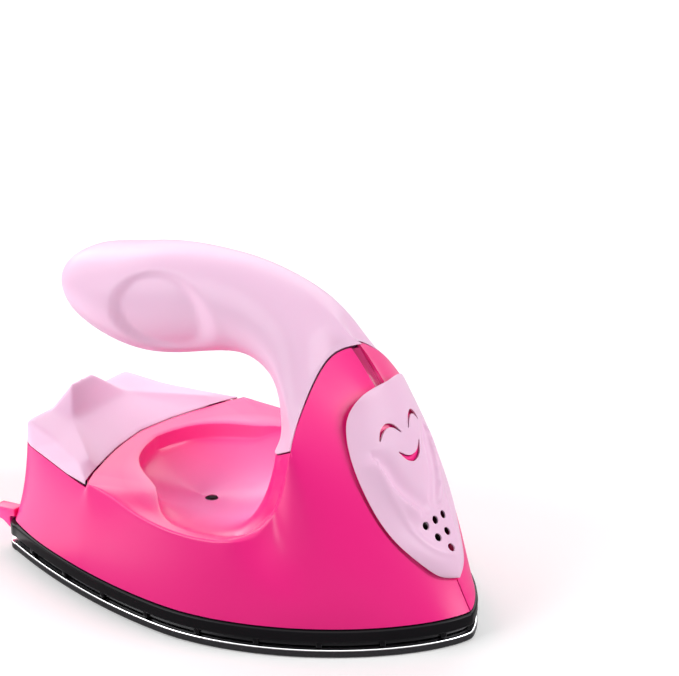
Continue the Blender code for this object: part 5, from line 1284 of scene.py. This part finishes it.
class CRAFTIRON_OT_base(bpy.types.Operator):
    """Shapes the black skirt with its groove and ribs, and the coated soleplate under it"""

    bl_idname = "craft_iron.base"
    bl_label = "Skirt and soleplate"

    def execute(self, context):
        s = sizes()
        low, shelf = s.sole_thickness + s.gap, s.sole_thickness + s.groove_height
        fine = s.fine_round
        band = rounded_profile([
            (s.groove_depth, low, fine / 2), (s.groove_depth, shelf, fine), (0.0, shelf, s.lip_round),
            (0.0, s.skirt_top, s.shoulder_round), (s.tongue_inset, s.skirt_top, fine),
            (s.tongue_inset, s.pad_top + s.gap, fine), (s.flange_inset, s.pad_top + s.gap, fine),
            (s.flange_inset, low, fine),
        ])
        skirt = mesh_piece("skirt_band", [carried(band)], finish("skirt_black"), wraps=(True, True))
        ribs = mesh_piece("groove_ribs", groove_ribs(), finish("skirt_black"), mirror=True,
                          wraps=(False, True))
        finish_piece(skirt, "skirt_black", "skirt", sharp=50.0)
        finish_piece(ribs, "skirt_black", soft=(s.cover_soft, 40.0))
        core = s.sole_length * 3 / 11
        rim = rounded_profile([
            (core, 0.0, 0.0), (0.0, 0.0, s.sole_round), (0.0, s.sole_thickness, s.rim_round),
            (s.pad_inset, s.sole_thickness, fine), (s.pad_inset, s.pad_top, fine),
            (core, s.pad_top, 0.0),
        ])
        grid = carried(rim)
        middle = np.array((s.sole_length * 0.5, 0.0, 0.0))
        under = grid[:1] * 0 + middle
        over = under + np.array((0, 0, s.pad_top))
        sole = mesh_piece("sole_plate", [np.concatenate([under, grid, over])], finish("sole_black"),
                          wraps=(False, True))
        finish_piece(sole, "sole_black", "soleplate", sharp=50.0)
        return {"FINISHED"}


class CRAFTIRON_OT_fittings(bpy.types.Operator):
    """Turns the cord gland in the rear wall"""

    bl_idname = "craft_iron.fittings"
    bl_label = "Cord gland"

    def execute(self, context):
        low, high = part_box("cord_gland")
        centre = ((low + high) / 2) - Vector(shift())
        reach = (high.x - low.x) / 2
        outer, lip, inner = (high.y - low.y) / 2, sizes().gland_radius, sizes().gland_bore
        profile = rounded_profile([
            (-reach, inner, 0.0), (-reach, lip * 0.86, 0.0004), (-reach * 0.1, lip, 0.0002),
            (-reach * 0.1, outer, 0.0003), (reach * 0.3, outer, 0.0003), (reach * 0.3, lip, 0.0002),
            (reach, lip, 0.0003), (reach, inner, 0.0002),
        ])
        sides = 56
        angle = np.linspace(0, 2 * math.pi, sides, endpoint=False)
        grid = np.stack([
            np.repeat(profile[:, 0, None] + centre.x, sides, axis=1),
            profile[:, 1, None] * np.cos(angle), profile[:, 1, None] * np.sin(angle) + centre.z,
        ], axis=-1)
        gland = mesh_piece("gland_sleeve", [grid], finish("rubber"), wraps=(True, True))
        finish_piece(gland, "rubber", "cord_gland", sharp=40.0)
        return {"FINISHED"}


class CRAFTIRON_OT_inner_finishes(bpy.types.Operator):
    """Gives each node that stays from the frame its worked finish"""

    bl_idname = "craft_iron.inner_finishes"
    bl_label = "Inner finishes"

    def execute(self, context):
        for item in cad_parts.values():
            for slot in item.material_slots:
                slot.material = finish(slot.material.name.split(".")[0])
        return {"FINISHED"}


# Stage


def area_light(name, place, aim, width, height, watts):
    data = bpy.data.lights.new(name, "AREA")
    data.shape = "RECTANGLE"
    data.size, data.size_y, data.energy = width, height, watts
    lamp = bpy.data.objects.new(name, data)
    lamp.location = place
    lamp.rotation_euler = (Vector(aim) - Vector(place)).to_track_quat("-Z", "Y").to_euler()
    bpy.context.scene.collection.objects.link(lamp)
    return lamp


def lay_floor():
    """A pale floor that glows more the further it is from the iron, so that it meets the white
    surroundings. All but camera rays see it dimmer."""
    n = Nodes("iron_floor", tuple(colours().floor))
    plain = n.add("ShaderNodeBsdfDiffuse", {"Color": n.shades(n.noise(6.0), 0.3, 0.7, 0.995, 1.005)})
    far = n.add("ShaderNodeVectorMath", {0: n.place}, operation="LENGTH").outputs["Value"]
    glow = n.add("ShaderNodeEmission", {"Strength": n.between(far, *FLOOR_GLOW)})
    seen = n.add("ShaderNodeAddShader", {0: plain.outputs[0], 1: glow.outputs[0]})
    dim = n.add("ShaderNodeBsdfDiffuse", Color=(0.50, 0.50, 0.50, 1.0))
    camera_ray = n.add("ShaderNodeLightPath").outputs["Is Camera Ray"]
    pick = n.add("ShaderNodeMixShader", {"Fac": camera_ray, 1: dim.outputs[0], 2: seen.outputs[0]})
    n.tree.links.new(pick.outputs[0], n.tree.nodes["Material Output"].inputs["Surface"])
    rows = np.linspace(-6.0, 6.0, 9)
    x, y = np.meshgrid(rows, rows, indexing="ij")
    grid = np.stack([x, y, np.full_like(x, -0.00005)], axis=-1)
    mesh_piece("floor", [grid], n.material, outwards=(0, 0, 1.0))


def lay_surroundings(scene):
    """White to the camera and to clear pieces, brighter overhead in reflections, and a dim white
    to every other ray."""
    scene.world = bpy.data.worlds.new("iron_world")
    scene.world.use_nodes = True
    tree = scene.world.node_tree
    tree.nodes.clear()
    path = add_node(tree, "ShaderNodeLightPath").outputs
    way = add_node(tree, "ShaderNodeTexCoord").outputs["Generated"]
    height = add_node(tree, "ShaderNodeSeparateXYZ", {0: way}).outputs["Z"]
    overhead = add_node(tree, "ShaderNodeMapRange", {"Value": height}, interpolation_type="SMOOTHSTEP",
                        **limits(*OVERHEAD)).outputs["Result"]
    strength = add_node(tree, "ShaderNodeMix", {"Factor": path["Is Glossy Ray"], "B": overhead}, A=1.0)
    seen = add_node(tree, "ShaderNodeBackground", {"Strength": strength.outputs["Result"]},
                    Color=(1.0,) * 4)
    lit = add_node(tree, "ShaderNodeBackground", Color=(1.0, 0.99, 1.0, 1.0), Strength=AMBIENT)
    most = path["Is Camera Ray"]
    for ray in ("Is Glossy Ray", "Is Transmission Ray"):
        most = add_node(tree, "ShaderNodeMath", {0: most, 1: path[ray]}, operation="MAXIMUM").outputs[0]
    pick = add_node(tree, "ShaderNodeMixShader", {"Fac": most, 1: lit.outputs[0], 2: seen.outputs[0]})
    add_node(tree, "ShaderNodeOutputWorld", {"Surface": pick.outputs[0]})


def place_camera(scene):
    data = bpy.data.cameras.new("camera")
    data.lens, data.sensor_width = LENS, SENSOR
    data.clip_start, data.clip_end = 0.01, 50.0
    camera = bpy.data.objects.new("camera", data)
    eye = CAMERA_TARGET + sum((axis * far for axis, far in zip(CAMERA_AXES, CAMERA_OFFSET)), Vector())
    eye = eye * (sizes().sole_length / CAMERA_SOLE) + Vector(shift())
    spin = Matrix([(a, b, -c) for a, b, c in zip(*CAMERA_AXES)])
    camera.matrix_world = Matrix.Translation(eye) @ spin.to_4x4()
    scene.collection.objects.link(camera)
    scene.camera = camera


class CRAFTIRON_OT_stage(bpy.types.Operator):
    """Lays the white floor and sets the soft lights, the pale surroundings and the camera"""

    bl_idname = "craft_iron.stage"
    bl_label = "Stage"

    def execute(self, context):
        context.scene.view_settings.view_transform = "Standard"
        lay_floor()
        lay_surroundings(context.scene)
        for name, (place, width, height, watts) in LAMPS.items():
            area_light(name, place, LAMP_TARGET, width, height, watts)
        x, y, z = CARD_PLACE
        card = area_light("card", (x, y, z), (x, y, 1.0), *CARD_SIZE, CARD_WATTS)
        card.visible_camera = False
        place_camera(context.scene)
        return {"FINISHED"}


class CRAFTIRON_PT_panel(bpy.types.Panel):
    bl_idname = "CRAFTIRON_PT_panel"
    bl_label = "Craft iron"
    bl_space_type = "VIEW_3D"
    bl_region_type = "UI"
    bl_category = "Craft iron"

    def draw(self, context):
        layout = self.layout
        for operator in OPERATORS:
            layout.operator(operator.bl_idname)
        for title, group in (("Sizes", sizes()), ("Colours", colours())):
            part = layout.box()
            part.label(text=title)
            for key in group.__annotations__:
                part.prop(group, key, text=key.replace("_", " ").capitalize())


OPERATORS = (
    CRAFTIRON_OT_body, CRAFTIRON_OT_handle, CRAFTIRON_OT_deck, CRAFTIRON_OT_nose_plate, CRAFTIRON_OT_base,
    CRAFTIRON_OT_fittings, CRAFTIRON_OT_inner_finishes, CRAFTIRON_OT_stage,
)
CLASSES = (CraftIronSizes, CraftIronColours, *OPERATORS, CRAFTIRON_PT_panel)


def register():
    for kind in CLASSES:
        bpy.utils.register_class(kind)
    bpy.types.Scene.craft_iron_sizes = bpy.props.PointerProperty(type=CraftIronSizes)
    bpy.types.Scene.craft_iron_colours = bpy.props.PointerProperty(type=CraftIronColours)


def unregister():
    del bpy.types.Scene.craft_iron_colours
    del bpy.types.Scene.craft_iron_sizes
    for kind in reversed(CLASSES):
        bpy.utils.unregister_class(kind)


def main():
    register()
    bpy.ops.craft_iron.body()
    bpy.ops.craft_iron.handle()
    bpy.ops.craft_iron.deck()
    bpy.ops.craft_iron.nose_plate()
    bpy.ops.craft_iron.base()
    bpy.ops.craft_iron.fittings()
    bpy.ops.craft_iron.inner_finishes()
    bpy.ops.craft_iron.stage()


if __name__ == "__main__":
    main()
